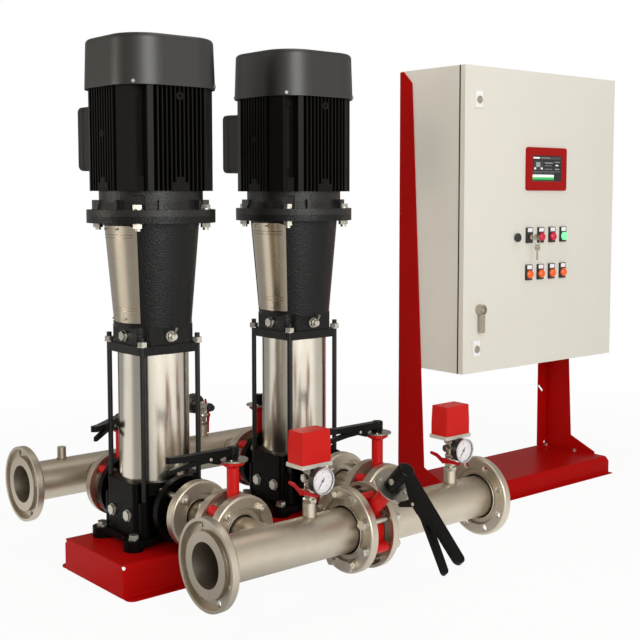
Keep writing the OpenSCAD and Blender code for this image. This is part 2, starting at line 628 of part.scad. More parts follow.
// Rotor: pump shaft with impellers, split coupling, motor shaft with core, external fan
motor_shaft_r = 19;
core_r = 74;
coupling_z = z_stool + 95;
coupling_h = 110;
module impeller() difference() {
    union() {
        cylinder(r = 62, h = 3);
        translate([0, 0, 11]) cylinder(r = 62, h = 3);
        cylinder(r = 18, h = 14);
        for (a = [0:60:300]) rotate(a) translate([14, -1.5, 1]) cube([44, 3, 12]);
    }
    translate([0, 0, 10]) tube(25, 18.01, 6);
}
module rotor() {
    translate([0, 0, z_base + 1]) cylinder(r = shaft_r, h = coupling_z + coupling_h / 2 - z_base - 2);
    for (i = [0:stages - 1]) translate([0, 0, z_base + (i + 0.5) * stage_h - 4]) impeller();
    difference() {
        union() {
            translate([0, 0, coupling_z]) cylinder(r = 36, h = coupling_h);
            for (z = [22, 88], s = [-1, 1]) translate([-17, s * 27, coupling_z + z]) along_x() hex(13, 34);
        }
        translate([0, 0, coupling_z - 1]) cylinder(r = shaft_r + 0.05, h = coupling_h / 2 + 1);
        translate([0, 0, coupling_z + coupling_h / 2 - 0.01])
            cylinder(r = motor_shaft_r + 0.05, h = coupling_h);
        translate([-1, -40, coupling_z - 1]) cube([2, 80, coupling_h + 2]);
    }
    translate([0, 0, coupling_z + coupling_h / 2 + 1])
        cylinder(r = motor_shaft_r, h = z_cover + 66 - coupling_z - coupling_h / 2);
    translate([0, 0, z_frame + 30]) cylinder(r = core_r, h = frame_len - 60);
    translate([0, 0, z_cover + 24]) {
        cylinder(r = 30, h = 36);
        tube(135, 28, 3);
        for (a = [0:60:300]) rotate(a) translate([28, -2, 0]) cube([105, 4, 30]);
    }
}
module rotor_1() color("dimgray") set() rotor();
module rotor_2() color("dimgray") set() translate([pump_pitch, 0, 0]) rotor();

// Motor frame: cast ring in a rounded-square outline of fins, the stator packed inside
ring_r = 124;
stator_fit = 0.8;
// Turn about the motor axis, height and radius of each eye boss
eye_bosses = [[270, z_cover - 26, 11], [180, z_frame + 151, 9]];
box_w = 180;
box_y = 150;
box_z = [z_frame + 58, z_frame + 236];
function reach(x) = let (d = max(0, abs(x) - frame_half + frame_corner))
    frame_half - frame_corner + sqrt(frame_corner * frame_corner - d * d);
module fin(x, w) polygon([[x - w / 2, ring_r / 2], [x + w / 2, ring_r / 2],
    [x + w / 2, reach(x + w / 2)], [x - w / 2, reach(x - w / 2)]]);
module frame_section() {
    circle(r = ring_r);
    for (a = [0, 180]) rotate(a) {
        for (i = [-5:5]) fin(i * fin_pitch, fin_t);
        for (s = [-1, 1]) fin(s * 86, 15);
    }
    for (a = [90, 270]) rotate(a) {
        for (i = [-4:4]) fin(i * fin_pitch, fin_t);
        for (s = [-1, 1]) fin(s * 91, 42);
    }
}
module motor_frame() difference() {
    union() {
        translate([0, 0, z_frame]) linear_extrude(frame_len) frame_section();
        // pad of the terminal box, rating plate feet, eye bosses
        translate([-78, ring_r - 24, box_z[0]]) cube([156, box_y - ring_r + 24, box_z[1] - box_z[0]]);
        for (a = [180, 270]) rotate(a) translate([ring_r - 20, 0, z_frame]) {
            translate([0, -26, 0]) cube([frame_half - ring_r + 21, 52, 22]);
            translate([0, -11, 0]) cube([frame_half - ring_r + 21, 22, 36]);
        }
        for (e = eye_bosses) rotate(e[0]) translate([ring_r - 10, 0, e[1]]) along_x()
            cylinder(r = e[2], h = frame_half - ring_r + 11);
        // corners: shield pad, rib and screw boss
        for (a = [45:90:315]) rotate(a) translate([ring_r - 10, 0, z_frame]) {
            translate([0, -18, 0]) cube([44, 36, 40]);
            translate([0, -4.5, 65]) cube([46, 9, frame_len - 104]);
            translate([0, -7, frame_len - 28]) cube([42, 14, 12]);
        }
    }
    translate([0, 0, z_frame - 1]) cylinder(r = core_r + stator_fit, h = frame_len + 2);
    for (z = [z_frame - 1, z_cover - 26]) translate([0, 0, z]) cylinder(r = ring_r - 12, h = 27);
    translate([-60, ring_r - 6, box_z[0] + 20]) cube([120, 60, box_z[1] - box_z[0] - 40]);
    for (e = eye_bosses) rotate(e[0]) translate([frame_half - 10, 0, e[1]]) along_x()
        cylinder(r = 3.5, h = 20);
}
module motor_frames() color("#171716") set() each_pump() motor_frame();
// Drive end shield with its flange, and the rear shield with arms that hold the fan cover
bore_r = motor_shaft_r + fit;
flange_r = motor_flange_d / 2;
module bell() difference() {
    union() {
        rotate_extrude() polygon([[bore_r, z_motor + 24], [100, z_motor + 24], [100, z_motor],
            [flange_r, z_motor], [flange_r, z_shield], [147, z_shield], [141, z_shield + shield_h * 0.4],
            [141, z_frame], [118, z_frame], [118, z_shield + 18], [48, z_shield + 18], [48, z_frame],
            [bore_r, z_frame]]);
        for (a = [22.5:45:337.5]) rotate(a) translate([125, -5, z_shield - 4]) cube([35, 10, shield_h * 0.6]);
    }
    ring(4, motor_pcd / 2, 45) translate([0, 0, z_motor - 1]) cylinder(d = 17.5, h = motor_flange_t + 2);
    for (a = [45:90:315]) rotate(a) translate([motor_pcd / 2 - 18, -18, z_shield])
        cube([60, 36, shield_h - 12]);
}
// The arms end short of the fan cover's rounded corners, whose centres lie at cover_mid
rear_t = 14;
cover_t = 2.2;
cover_mid = (cover_half - cover_corner) * sqrt(2);
cover_diag = cover_mid + cover_corner;
module cover_holes() for (a = [45:90:315]) rotate(a) translate([cover_diag - 20, 0, z_cover + rear_t / 2])
    along_x() cylinder(d = 5, h = 30);
module rear_shield() difference() {
    union() {
        translate([0, 0, z_cover]) cylinder(r = ring_r, h = rear_t);
        for (a = [45:90:315]) rotate(a) translate([0, -14, z_cover]) intersection() {
            cube([cover_diag, 28, rear_t]);
            translate([cover_mid, 14, -1]) cylinder(r = cover_corner - cover_t - 0.9, h = rear_t + 2);
        }
    }
    translate([0, 0, z_cover - 1]) cylinder(r = bore_r, h = rear_t + 2);
    cover_holes();
}
module motor_shields() color("#171716") set() each_pump() { bell(); rear_shield(); }
// Sheet fan cover, a rounded square that tapers to its grille. The profile runs up from the rim and is
// measured out from the corner centres; quarter turns of it are joined by two straight bars
module cover_body(profile) let (half = cover_half - cover_corner, n = len(profile) - 1) {
    for (a = [0:90:270]) rotate(a) translate([half, half, 0]) rotate_extrude(angle = 90)
        polygon(concat([[0, profile[0][1]]], profile, [[0, profile[n][1]]]));
    for (a = [0, 90]) rotate(a) rotate([90, 0, 0]) linear_extrude(2 * half, center = true)
        polygon(concat([for (p = profile) [half + p[0], p[1]]],
            [for (i = [n:-1:0]) [-half - profile[i][0], profile[i][1]]]));
}
function cover_profile(inset, foot) = let (r = cover_corner - inset) concat(
    [[r, foot], [r, z_cover + 6]], arc([cover_corner - 16, z_top - 12], 12 - inset, 0, 90));
module fan_cover() difference() {
    cover_body(cover_profile(0, z_cover - 1));
    cover_body(cover_profile(cover_t, z_cover - 2));
    for (r = [38:12:122]) translate([0, 0, z_top - 5]) difference() {
        tube(r + 7, r, 8);
        for (a = [0:45:135]) rotate(a) translate([-170, -3, -1]) cube([340, 6, 10]);
    }
    cover_holes();
}
module fan_covers() color("#3b3c3e") set() each_pump() fan_cover();
// Terminal box on the rear of the frame: body, lid and two blanked cable entries
module terminal_box() translate([0, 0, (box_z[0] + box_z[1]) / 2]) rotate([-90, 0, 0])
let (h = box_z[1] - box_z[0]) {
    translate([0, 0, box_y]) difference() {
        block(box_w, h, 62, 14);
        translate([0, 0, 4]) block(box_w - 10, h - 10, 60, 10);
        translate([0, 0, -1]) block(118, h - 42, 10, 8);
        for (x = [-38, 38]) translate([x, h / 2 - 10, 34]) rotate([-90, 0, 0]) cylinder(r = 16, h = 12);
    }
    translate([0, 0, box_y + 62 + gap]) difference() {
        block(box_w + 2, h + 2, 28, 15);
        corners(box_w - 24, h - 24) translate([0, 0, 22]) cylinder(d = 5.2, h = 8);
    }
    for (x = [-38, 38]) translate([x, h / 2 + gap, box_y + 34]) rotate([-90, 0, 0]) {
        translate([0, 0, -7]) cylinder(r = 16 - fit, h = 7.5);
        hex(36, 9);
    }
}
module terminal_boxes() color("#171716") set() each_pump() terminal_box();

// Foot bolts with their nuts under the plinth, motor flange bolts
module pump_bolts() color("silver") set() each_pump() {
    corners(foot_x, foot_y) translate([0, 0, plinth_h + foot_t]) rotate([180, 0, 0]) {
        hex_bolt(foot_bolt, foot_t + plinth_t + 18);
        translate([0, 0, foot_t + plinth_t]) hex(24, 13);
    }
    ring(4, motor_pcd / 2, 45) translate([0, 0, z_shield]) rotate([180, 0, 0]) {
        hex_bolt(16, 2 * motor_flange_t + 20);
        translate([0, 0, 2 * motor_flange_t]) hex(24, 13);
    }
}
// Drain and pressure plugs, filling plug and air vent
module hex_plug(af, thread_r, depth, h) {
    translate([0, 0, -depth]) cylinder(r = thread_r, h = depth + 1);
    cylinder(r = af * 0.62, h = 3);
    hex(af, h);
}
module pump_plugs() color("silver") set() each_pump() {
    for (s = [-1, 1], y = plug_y) translate([s * 110, y, plinth_h + plug_z]) rotate([0, s * 90, 0])
        hex_plug(26, 8, 18, 9);
    for (a = [90, 180, 270]) rotate(a) translate([head_w / 2 - 6, 0, head_plug_z]) along_x() {
        hex_plug(24, 7, 14, 12);
        if (a == 270) {
            cylinder(r = 9, h = 22);
            translate([0, 0, 15]) rotate([0, -55, 0]) cylinder(r = 3.5, h = 30);
        }
    }
}

// Pressed loose flange behind the collar of a pipe end. The joint face is z = 0, the pipe runs along +Z.
// A rim turned toward the joint stiffens the plate, whose web carries the bolts
flange_web = 8;
function flange_section(r, t, pipe_r, collar_r) = concat([[pipe_r + 0.4, collar_t],
    [collar_r - 1, collar_t], [collar_r + 1.5, t - flange_web], [r - 8, t - flange_web], [r - 8, 0], [r, 0]],
    arc([r - 6, t - 6], 6, 0, 90),
    [[collar_r, t], [collar_r - 4, collar_t + flange_web], [pipe_r + 0.4, collar_t + flange_web]]);
module loose_flange(d, t, pipe_d, collar_d, pcd, n) difference() {
    rotate_extrude() polygon(flange_section(d / 2, t, pipe_d / 2, collar_d / 2));
    ring(n, pcd / 2, 180 / n) translate([0, 0, -1]) cylinder(d = neck, h = t + 2);
}
module main_flange() loose_flange(main_flange_d, main_flange_t, main_od, main_collar, main_pcd, 8);
module branch_flange()
    loose_flange(branch_flange_d, branch_flange_t, branch_od, branch_collar, branch_pcd, 4);

// Ends of the pipes: place along the pipe and the way that the pipe runs from it
main_x = [-manifold_left, manifold_len - manifold_left];
cut_x = [section_x - section_len / 2, section_x + section_len / 2];
suct_ends = [[main_x[0], 1], [main_x[1], -1]];
disch_ends = [[main_x[0], 1], [cut_x[0], -1], [cut_x[1], 1], [main_x[1], -1]];
branch_ends = [[y_spool, 1], [y_valve1, -1], [y_valve1_end, 1]];
module main_end(e, y) translate([e[0], y, axis_z]) rotate([0, e[1] * 90, 0]) children();
module branch_end(x, y, way) translate([x, y, axis_z]) rotate([-way * 90, 0, 0]) children();
module loose_flanges() color("#b3ab9c") set() {
    for (e = suct_ends) main_end(e, suction_y) main_flange();
    for (e = disch_ends) main_end(e, -discharge_y) main_flange();
    for (x = pumps) {
        branch_end(x, y_suct, 1) branch_flange();
        for (e = branch_ends) branch_end(x, -e[0], -e[1]) branch_flange();
    }
}

// Manifolds: main pipe, collared ends, branches toward the pumps, threaded sockets
main_r = main_od / 2;
branch_r = branch_od / 2;
socket_top = axis_z + 92;
socket_r = 17;
tapping_r = 9;
module socket(x, y, r) translate([x, y, axis_z + main_r - 6])
    cylinder(r = r, h = socket_top - axis_z - main_r + 6);
module manifold(ends, y, branch_from) difference() {
    union() {
        children();
        for (i = [0:2:len(ends) - 1]) translate([ends[i][0], y, axis_z]) along_x()
            cylinder(r = main_r, h = ends[i + 1][0] - ends[i][0]);
        for (e = ends) main_end(e, y) cylinder(d = main_collar, h = collar_t - 0.1);
        for (x = pumps) branch_end(x, branch_from, sign(y)) {
            cylinder(r = branch_r, h = abs(y - branch_from));
            cylinder(d = branch_collar, h = collar_t - 0.1);
        }
    }
    for (i = [0:2:len(ends) - 1]) translate([ends[i][0] - 1, y, axis_z]) along_x()
        cylinder(r = main_r - pipe_t, h = ends[i + 1][0] - ends[i][0] + 2);
    for (x = pumps) branch_end(x, branch_from - sign(y), sign(y))
        cylinder(r = branch_r - pipe_t, h = abs(y - branch_from));
}
module suction_manifold() color("#b3ab9c") set() difference() {
    manifold(suct_ends, suction_y, y_suct) {
        socket(-gauge_x, suction_y, 13);
        socket(rear_gauge_x, suction_y, socket_r);
    }
    translate([rear_gauge_x, suction_y, axis_z]) cylinder(r = tapping_r, h = socket_top - axis_z + 1);
}
instrument_x = [gauge_x, pump_pitch + gauge_x];
module discharge_manifold() color("#b3ab9c") set() difference() {
    manifold(disch_ends, -discharge_y, -y_valve1_end)
        for (x = instrument_x) socket(x, -discharge_y, socket_r);
    for (x = instrument_x) translate([x, -discharge_y, axis_z])
        cylinder(r = tapping_r, h = socket_top - axis_z + 1);
}
module spools() color("#b3ab9c") set() for (x = pumps) translate([x, -y_spool, axis_z]) rotate([90, 0, 0])
    let (h = y_valve1 - y_spool) difference() {
        union() {
            cylinder(r = branch_r, h = h);
            cylinder(d = branch_collar, h = collar_t - 0.1);
            translate([0, 0, h - collar_t + 0.1]) cylinder(d = branch_collar, h = collar_t - 0.1);
        }
        translate([0, 0, -1]) cylinder(r = branch_r - pipe_t, h = h + 2);
    }
// Through bolts: seat of the head, length between the seats
module bolt_ring(n, pcd, span) ring(n, pcd / 2, 180 / n) {
    hex_bolt(flange_bolt, span + 20);
    translate([0, 0, span]) hex(24, 13);
}
module branch_bolts(span) bolt_ring(4, branch_pcd, span);
module flange_bolts() color("silver") set() {
    for (x = pumps) {
        branch_end(x, -y_port + 21, -1) branch_bolts(check_len + 21 + branch_flange_t);
        branch_end(x, y_port - 21, 1) branch_bolts(valve_len + 21 + branch_flange_t);
        branch_end(x, -y_valve1 + branch_flange_t, -1) branch_bolts(valve_len + 2 * branch_flange_t);
    }
    translate([cut_x[0] - main_flange_t, -discharge_y, axis_z]) along_x()
        bolt_ring(8, main_pcd, section_len + 2 * main_flange_t);
}

// Wafer check valve: seat toward the pump, sprung disc guided by a spider
module check_body() difference() {
    union() {
        cylinder(r = 60, h = check_len);
        translate([0, 0, check_len - 10]) cylinder(r = 10, h = 10);
    }
    translate([0, 0, -1]) cylinder(r = 32.2, h = 8);
    translate([0, 0, 6]) tube(40, 10, check_len - 10 - 5.9);
    translate([0, 0, 6]) cylinder(r = 39.9, h = check_len - 16);
    translate([0, 0, check_len - 11]) difference() {
        tube(36, 10, 12);
        ring(3, 0) translate([0, -3, 0]) cube([40, 6, 12]);
    }
    translate([0, 0, 10]) cylinder(r = 5 + fit, h = check_len);
}
module check_bodies() color("#1c1c1a") set() for (x = pumps) branch_end(x, -y_port, -1) check_body();
module check_disc(x) branch_end(x, -y_port, -1) translate([0, 0, 6 + gap]) {
    cylinder(r = 36.5, h = 5);
    cylinder(r = 5, h = check_len - 8);
}
module check_disc_1() color("silver") set() check_disc(pumps[0]);
module check_disc_2() color("silver") set() check_disc(pumps[1]);

// Butterfly valves: 0 to 3 on the branches, 4 is the section valve. Each is drawn with its pipe
// along Y, its stem along +Z and its lever toward -X
valve_turn = [0, 0, 38, 180, 0];
valve_way = [1, 1, -1, 1, 1];
module at_valve(i) {
    if (i < 4) translate([pumps[i % 2], i < 2 ? -y_valve1 - valve_len / 2 : y_port + valve_len / 2, axis_z])
        children();
    else translate([section_x, -discharge_y, axis_z]) rotate([section_tilt, 0, 0]) rotate([0, 0, 90])
        children();
}
function pick(i, small, large) = i < 4 ? small : large;
function v_len(i) = pick(i, valve_len, section_len);
function v_bore(i) = pick(i, branch_r - pipe_t - 3.2, main_r - pipe_t - 4.5);
function v_liner(i) = v_bore(i) + 6;
function v_body(i) = pick(i, 63, 78);
function v_stem(i) = pick(i, 7, 9);
function v_plate(i) = pick(i, ratchet_h, section_ratchet_h);
function v_plate_r(i) = pick(i, 39, 45);
function v_lug(i) = pick(i, 45, section_tilt - 22.5);
lip_t = 2.5;
plate_t = 4;
module valve_body(i) let (len = v_len(i), top = v_plate(i)) difference() {
    union() {
        translate([0, lip_t - len / 2, 0]) along_y() {
            cylinder(r = v_body(i), h = len - 2 * lip_t);
            ring(4, pick(i, branch_pcd, main_pcd) / 2, v_lug(i)) {
                cylinder(r = 13.5, h = len - 2 * lip_t);
                translate([-20, -9, 0]) cube([20, 18, len - 2 * lip_t]);
            }
        }
        translate([0, 0, v_liner(i) + 2]) cylinder(r = pick(i, 16, 19), h = top - v_liner(i) - 4);
        translate([0, 0, v_body(i) - 4]) cylinder(r1 = pick(i, 20, 25), r2 = pick(i, 16, 19), h = 18);
        translate([0, 0, top - 18]) cylinder(r1 = pick(i, 16, 19), r2 = pick(i, 30, 38), h = 9);
        translate([0, 0, top - 9]) cylinder(r = pick(i, 30, 38), h = 9);
        for (s = [-1, 1]) rotate(45) translate([s * pick(i, 26, 34), 0, top - 9]) cylinder(r = 9, h = 9);
        translate([0, 0, -v_body(i) - 6]) cylinder(r = v_stem(i) + 7, h = 20);
    }
    translate([0, -len / 2, 0]) along_y() cylinder(r = v_liner(i), h = len);
    for (s = [-1, 1]) translate([0, s * (len / 2 - lip_t) - 20, 0]) along_y()
        translate([0, 0, s > 0 ? 20 : 0]) cylinder(r = v_liner(i), h = 20);
    translate([0, -len / 2, 0]) along_y() ring(4, pick(i, branch_pcd, main_pcd) / 2, v_lug(i))
        cylinder(d = neck, h = len);
    cylinder(r = v_stem(i) + fit, h = top + 1);
    translate([0, 0, -v_body(i)]) cylinder(r = v_stem(i) + fit, h = v_body(i));
}
module valve_bodies() color("#c8201c") set() for (i = [0:4]) at_valve(i) valve_body(i);
module valve_liner(i) let (len = v_len(i)) difference() {
    translate([0, -len / 2, 0]) along_y() {
        cylinder(r = v_liner(i), h = len);
        for (z = [0, len - lip_t]) translate([0, 0, z]) cylinder(r = v_liner(i) + 8, h = lip_t);
    }
    translate([0, -len, 0]) along_y() cylinder(r = v_bore(i), h = 2 * len);
    cylinder(r = v_stem(i) + fit, h = 100);
    translate([0, 0, -100]) cylinder(r = v_stem(i) + fit, h = 100);
}
module valve_liners() color("#202020") set() for (i = [0:4]) at_valve(i) valve_liner(i);
// Ratchet plate: ten notches over the travel, a stop tab past them
module ratchet_plate(i) translate([0, 0, v_plate(i)]) rotate(180 + valve_turn[i]) difference() {
    union() {
        cylinder(r = v_plate_r(i), h = plate_t);
        rotate(-valve_way[i] * 24) translate([v_plate_r(i) - 4, -7, 0]) cube([3, 14, plate_t + 4]);
    }
    translate([0, 0, -1]) cylinder(r = v_stem(i) + fit, h = plate_t + 2);
    for (a = [0:10:90]) rotate(valve_way[i] * a) translate([v_plate_r(i) - 3, -1.5, -1])
        cube([5, 3, plate_t + 2]);
}
module ratchet_plates() color("#3a3a38") set() for (i = [0:4]) at_valve(i) ratchet_plate(i);

// Lever with its stem and disc: an inverted channel on a clamp hub
lever_gap = plate_t + gap;
function l_top(i) = pick(i, ratchet_h + 34, section_lever_top);
function l_len(i) = pick(i, lever_len, section_lever_len);
function l_w(i) = pick(i, 22, 30);
function l_hub(i) = pick(i, 13, 19);
function l_pin(i) = pick(i, [-75, ratchet_h + 15], [-78, section_ratchet_h + 48]);
pin_r = 3;
module lever(i) at_valve(i) {
    translate([0, 0, -v_body(i) + 1]) cylinder(r = v_stem(i), h = v_body(i) + l_top(i) - 10);
    translate([0, pick(i, -4, -5), 0]) along_y() cylinder(r = v_bore(i) - 0.6, h = pick(i, 8, 10));
    rotate(valve_turn[i]) lever_handle(i);
}
module lever_handle(i) let (top = l_top(i), base = v_plate(i) + lever_gap, len = l_len(i), w = l_w(i),
    hub = l_hub(i), pin = l_pin(i), low = pin[1] - 7) {
    difference() {
        intersection() {
            rotate([90, 0, 0]) linear_extrude(80, center = true) polygon([[hub, base], [hub, top - 6],
                [hub - 6, top], [-len * 0.75, top], [-len, top + pick(i, 4, 0)], [-len, top - 12],
                [-len * 0.62, top - 15], [pin[0] - 22, low], [pin[0] + 14, low], [-hub - 6, top - 15],
                [-hub, base]]);
            union() {
                cylinder(r = hub, h = 400);
                translate([w / 2 - len, 0, 0]) cylinder(r = w / 2, h = 400);
                translate([w / 2 - len, -w / 2, 0]) cube([len - w / 2, w, 400]);
            }
        }
        translate([8 - len, 4 - w / 2, low - 1]) cube([len - 10 - hub, w - 8, top - 3 - low + 1]);
    }
    translate([pin[0], w / 2 + 1.5, pin[1]]) rotate([90, 0, 0]) cylinder(r = pin_r, h = w + 3);
    translate([-2, -hub - 6, (base + top) / 2 - 6]) rotate([-90, 0, 0]) hex(pick(i, 10, 16), 9);
}
module lever_1() color("#1b1b1b") set() lever(0);
module lever_2() color("#1b1b1b") set() lever(1);
module lever_3() color("#1b1b1b") set() lever(2);
module lever_4() color("#1b1b1b") set() lever(3);
module lever_5() color("#1b1b1b") set() lever(4);
// Trigger under the lever: its pawl tip stands at the edge of the ratchet plate
module trigger(i) at_valve(i) rotate(valve_turn[i]) let (p = l_pin(i), w = l_w(i) - 10, z = v_plate(i),
    tip = -v_plate_r(i) - 2, e = pick(i, [-188, ratchet_h - 1], [-252, section_ratchet_h + 7])) difference() {
    intersection() {
        rotate([90, 0, 0]) linear_extrude(w, center = true) polygon([[tip, z - 3], [tip, z + 8],
            [p[0] + 12, p[1] + 7], [p[0] - 6, p[1] + 7], [p[0] - 40, p[1] + 3], [e[0], e[1] + 5],
            [e[0], e[1] - 5], [p[0] - 40, p[1] - 11], [p[0] - 4, p[1] - 9], [tip - 8, z - 3]]);
        union() {
            translate([e[0] + w / 2, 0, 0]) cylinder(r = w / 2, h = 400);
            translate([e[0] + w / 2, -w / 2, 0]) cube([300, w, 400]);
        }
    }
    translate([p[0], 20, p[1]]) rotate([90, 0, 0]) cylinder(r = pin_r + fit, h = 40);
}
module trigger_1() color("#1b1b1b") set() trigger(0);
module trigger_2() color("#1b1b1b") set() trigger(1);
module trigger_3() color("#1b1b1b") set() trigger(2);
module trigger_4() color("#1b1b1b") set() trigger(3);
module trigger_5() color("#1b1b1b") set() trigger(4);

// Instruments on their sockets: 0 and 1 in front, facing -Y, 2 behind, facing +Y
instruments = [[instrument_x[0], -discharge_y, 0], [instrument_x[1], -discharge_y, 0],
    [rear_gauge_x, suction_y, 180]];
cock_z = socket_top + 29;
cross_z = socket_top + 63;
gauge_back = -28;
gauge_front = -56;
switch_z = socket_top + 76;
module at_instrument(i) translate([instruments[i][0], instruments[i][1], 0])
    rotate(instruments[i][2]) children();
module gauge_fitting(i) difference() {
    union() {
        translate([0, 0, socket_top - 20]) cylinder(r = tapping_r - 0.1, h = 30);
        translate([0, 0, socket_top]) hex(31, 9);
        translate([0, 0, socket_top + 8]) cylinder(r = 11, h = 30);
        for (z = [13, 37]) translate([0, 0, socket_top + z]) hex(25, 8);
        translate([0, 0, cock_z]) sphere(r = 15);
        translate([-20, 0, cock_z]) along_x() cylinder(r = 7, h = 20);
        translate([0, 0, cock_z]) cylinder(r = 8, h = cross_z - cock_z);
        translate([0, 0, cross_z - 16]) cylinder(r = 11.5, h = i < 2 ? 29 : 22);
        translate([0, 0, cross_z]) sphere(r = 14);
        translate([0, 0, cross_z]) rotate([90, 0, 0]) cylinder(r = 10, h = -gauge_back - 6);
        translate([0, -20, cross_z]) rotate([90, 0, 0]) hex(22, 8);
        if (i < 2) {
            translate([-20, 0, cross_z]) along_x() cylinder(r = 10, h = 20);
            translate([-22, 0, cross_z]) along_x() hex(14, 6);
            translate([0, 0, switch_z]) hex(30, 9);
            translate([0, 0, switch_z - 5]) cylinder(r = 8, h = 10);
        } else {
            translate([0, 0, cross_z]) along_y() cylinder(r = 9, h = 46);
            translate([0, 34, cross_z]) along_y() cylinder(r = 14, h = 14);
            translate([0, 47, cross_z]) along_y() cylinder(r = 10, h = 13);
        }
    }
    translate([-30, 0, cock_z]) along_x() cylinder(r = 3 + fit, h = 22);
    translate([0, 0, socket_top - 21]) cylinder(r = 4, h = 30);
    translate([0, gauge_back - 1, cross_z]) along_y() cylinder(r = 3.5, h = 20);
}
module gauge_fittings() color("#b9b3a6") set() for (i = [0:2]) at_instrument(i) gauge_fitting(i);
// Wing handle of an isolating cock, closed: it lies along Y. The rear one is open and hangs down
handle_turn = [0, 0, 90];
module iso_handle(i) at_instrument(i) translate([-20 - gap, 0, cock_z]) rotate([handle_turn[i], 0, 0]) {
    translate([-9, 0, 0]) along_x() cylinder(r = 3, h = 20);
    difference() {
        translate([-8, 0, 0]) along_x() cylinder(r = 7, h = 8);
        translate([-9, -3.5, -3.5]) cube([2, 7, 7]);
    }
    rotate([90, 0, 90]) translate([0, 0, -6]) linear_extrude(3.5) polygon([[-6, -6], [-26, -3],
        [-56, -2], [-60, 1], [-56, 5], [-28, 7], [-8, 8], [8, 8], [26, 17], [48, 19], [52, 15], [48, 11],
        [28, 7], [6, -6]]);
}
module iso_handle_1() color("#b01824") set() iso_handle(0);
module iso_handle_2() color("#b01824") set() iso_handle(1);
module iso_handle_3() color("#b01824") set() iso_handle(2);
gauge_r = gauge_d / 2;
dial_y = gauge_front + 7;
module gauge_case() translate([0, 0, cross_z]) rotate([90, 0, 0]) difference() {
    rotate_extrude() polygon([[0, -gauge_back], [gauge_r - 8, -gauge_back], [gauge_r - 1.5, -gauge_back + 5],
        [gauge_r - 1.5, -gauge_front - 5], [gauge_r, -gauge_front - 4], [gauge_r, -gauge_front],
        [gauge_r - 2.5, -gauge_front], [gauge_r - 2.5, -dial_y], [0, -dial_y]]);
    translate([0, 0, -gauge_back - 1]) cylinder(r = 1.2 + fit, h = 40);
}
module gauge_cases() color("#161616") set() for (i = [0:2]) at_instrument(i) gauge_case();
needle_rest = 145;
module needle(i) at_instrument(i) translate([0, 0, cross_z]) rotate([90, 0, 0]) rotate(needle_rest) {
    translate([0, 0, -dial_y - 8]) cylinder(r = 1.2, h = 10);
    translate([0, 0, -dial_y + 1]) cylinder(r = 3.2, h = 2);
    translate([0, 0, -dial_y + 1.6]) linear_extrude(0.8)
        polygon([[0, 25], [-1, 14], [-1.4, -9], [1.4, -9], [1, 14]]);
}
module needle_1() color("#101010") set() needle(0);
module needle_2() color("#101010") set() needle(1);
module needle_3() color("#101010") set() needle(2);
// Pressure switch: black bellows housing with a grey base plate, red cover
module front_switches() for (i = [0, 1]) at_instrument(i) translate([0, 0, switch_z + 9]) children();
module switch_bases() color("#8f8d86") set() front_switches() {
    cylinder(r = 11, h = 4);
    translate([0, 0, 3]) block(switch_w - 34, switch_d - 20, 10, 4);
    translate([0, 0, 13]) block(switch_w + 5, switch_d + 6, 4, 2);
    translate([0, 0, 16]) block(40, 30, 40, 2);
}
module switch_covers() color("#cb2a22") set() front_switches() translate([0, 0, 17]) difference() {
    switch_hood(switch_w, switch_d, switch_h);
    translate([0, 0, -0.01]) switch_hood(switch_w - 5, switch_d - 5, switch_h - 2.5);
}
module switch_hood(w, d, h) intersection() {
    rotate([90, 0, 0]) linear_extrude(d + 2, center = true)
        polygon([[-w / 2, 0], [2.5 - w / 2, h], [w / 2 - 2.5, h], [w / 2, 0]]);
    rotate([90, 0, 90]) linear_extrude(w + 2, center = true)
        polygon([[-d / 2, 0], [3 - d / 2, h], [d / 2 - 3, h], [d / 2, 0]]);
    block(w, d, h, 4);
}

// Small screws: stand, cabinet, guards, fan covers, terminal box lids
module small_screws() color("silver") set() {
    for (x = foot_bolt_x, y = foot_bolt_y) translate([x, y, stand_h + stand_t]) rotate([180, 0, 0])
        hex_bolt(8, 18);
    for (x = foot_bolt_x, z = cab_bolt_z) translate([x, stand_rear, z]) rotate([90, 0, 0]) hex_bolt(8, 16);
    each_pump() {
        for (s = [0, 180], z = [guard_z0 + 11, guard_z1 - 9], y = [-28, 28]) rotate(s)
            translate([stool_r(z) - 6, y, z]) along_x() cylinder(r = 2.5, h = 7);
        for (a = [45:90:315]) rotate(a) translate([cover_diag + 0.2, 0, z_cover + rear_t / 2])
            rotate([0, -90, 0]) pan_screw(4.8, 14);
        translate([0, box_y + 90 + gap, (box_z[0] + box_z[1]) / 2]) rotate([90, 0, 0])
            corners(box_w - 24, box_z[1] - box_z[0] - 24) pan_screw(5, 5);
    }
}

plinth();
stand_base();
uprights();
cabinet_body();
mounting_plate();
cabinet_door();
hmi_panel();
lock_upper();
lock_lower();
door_handle();
push_button();
key_switch();
lamp_holders();
lamp_lenses();
small_screws();
pump_bases();
outer_sleeves();
chamber_stacks();
pump_heads();
stay_bolts();
coupling_guards();
rotor_1();
rotor_2();
motor_frames();
motor_shields();
fan_covers();
terminal_boxes();
pump_bolts();
pump_plugs();
suction_manifold();
discharge_manifold();
spools();
loose_flanges();
flange_bolts();
check_bodies();
check_disc_1();
check_disc_2();
valve_bodies();
valve_liners();
ratchet_plates();
lever_1();
lever_2();
lever_3();
lever_4();
lever_5();
trigger_1();
trigger_2();
trigger_3();
trigger_4();
trigger_5();
gauge_fittings();
iso_handle_1();
iso_handle_2();
iso_handle_3();
gauge_cases();
needle_1();
needle_2();
needle_3();
switch_bases();
switch_covers();
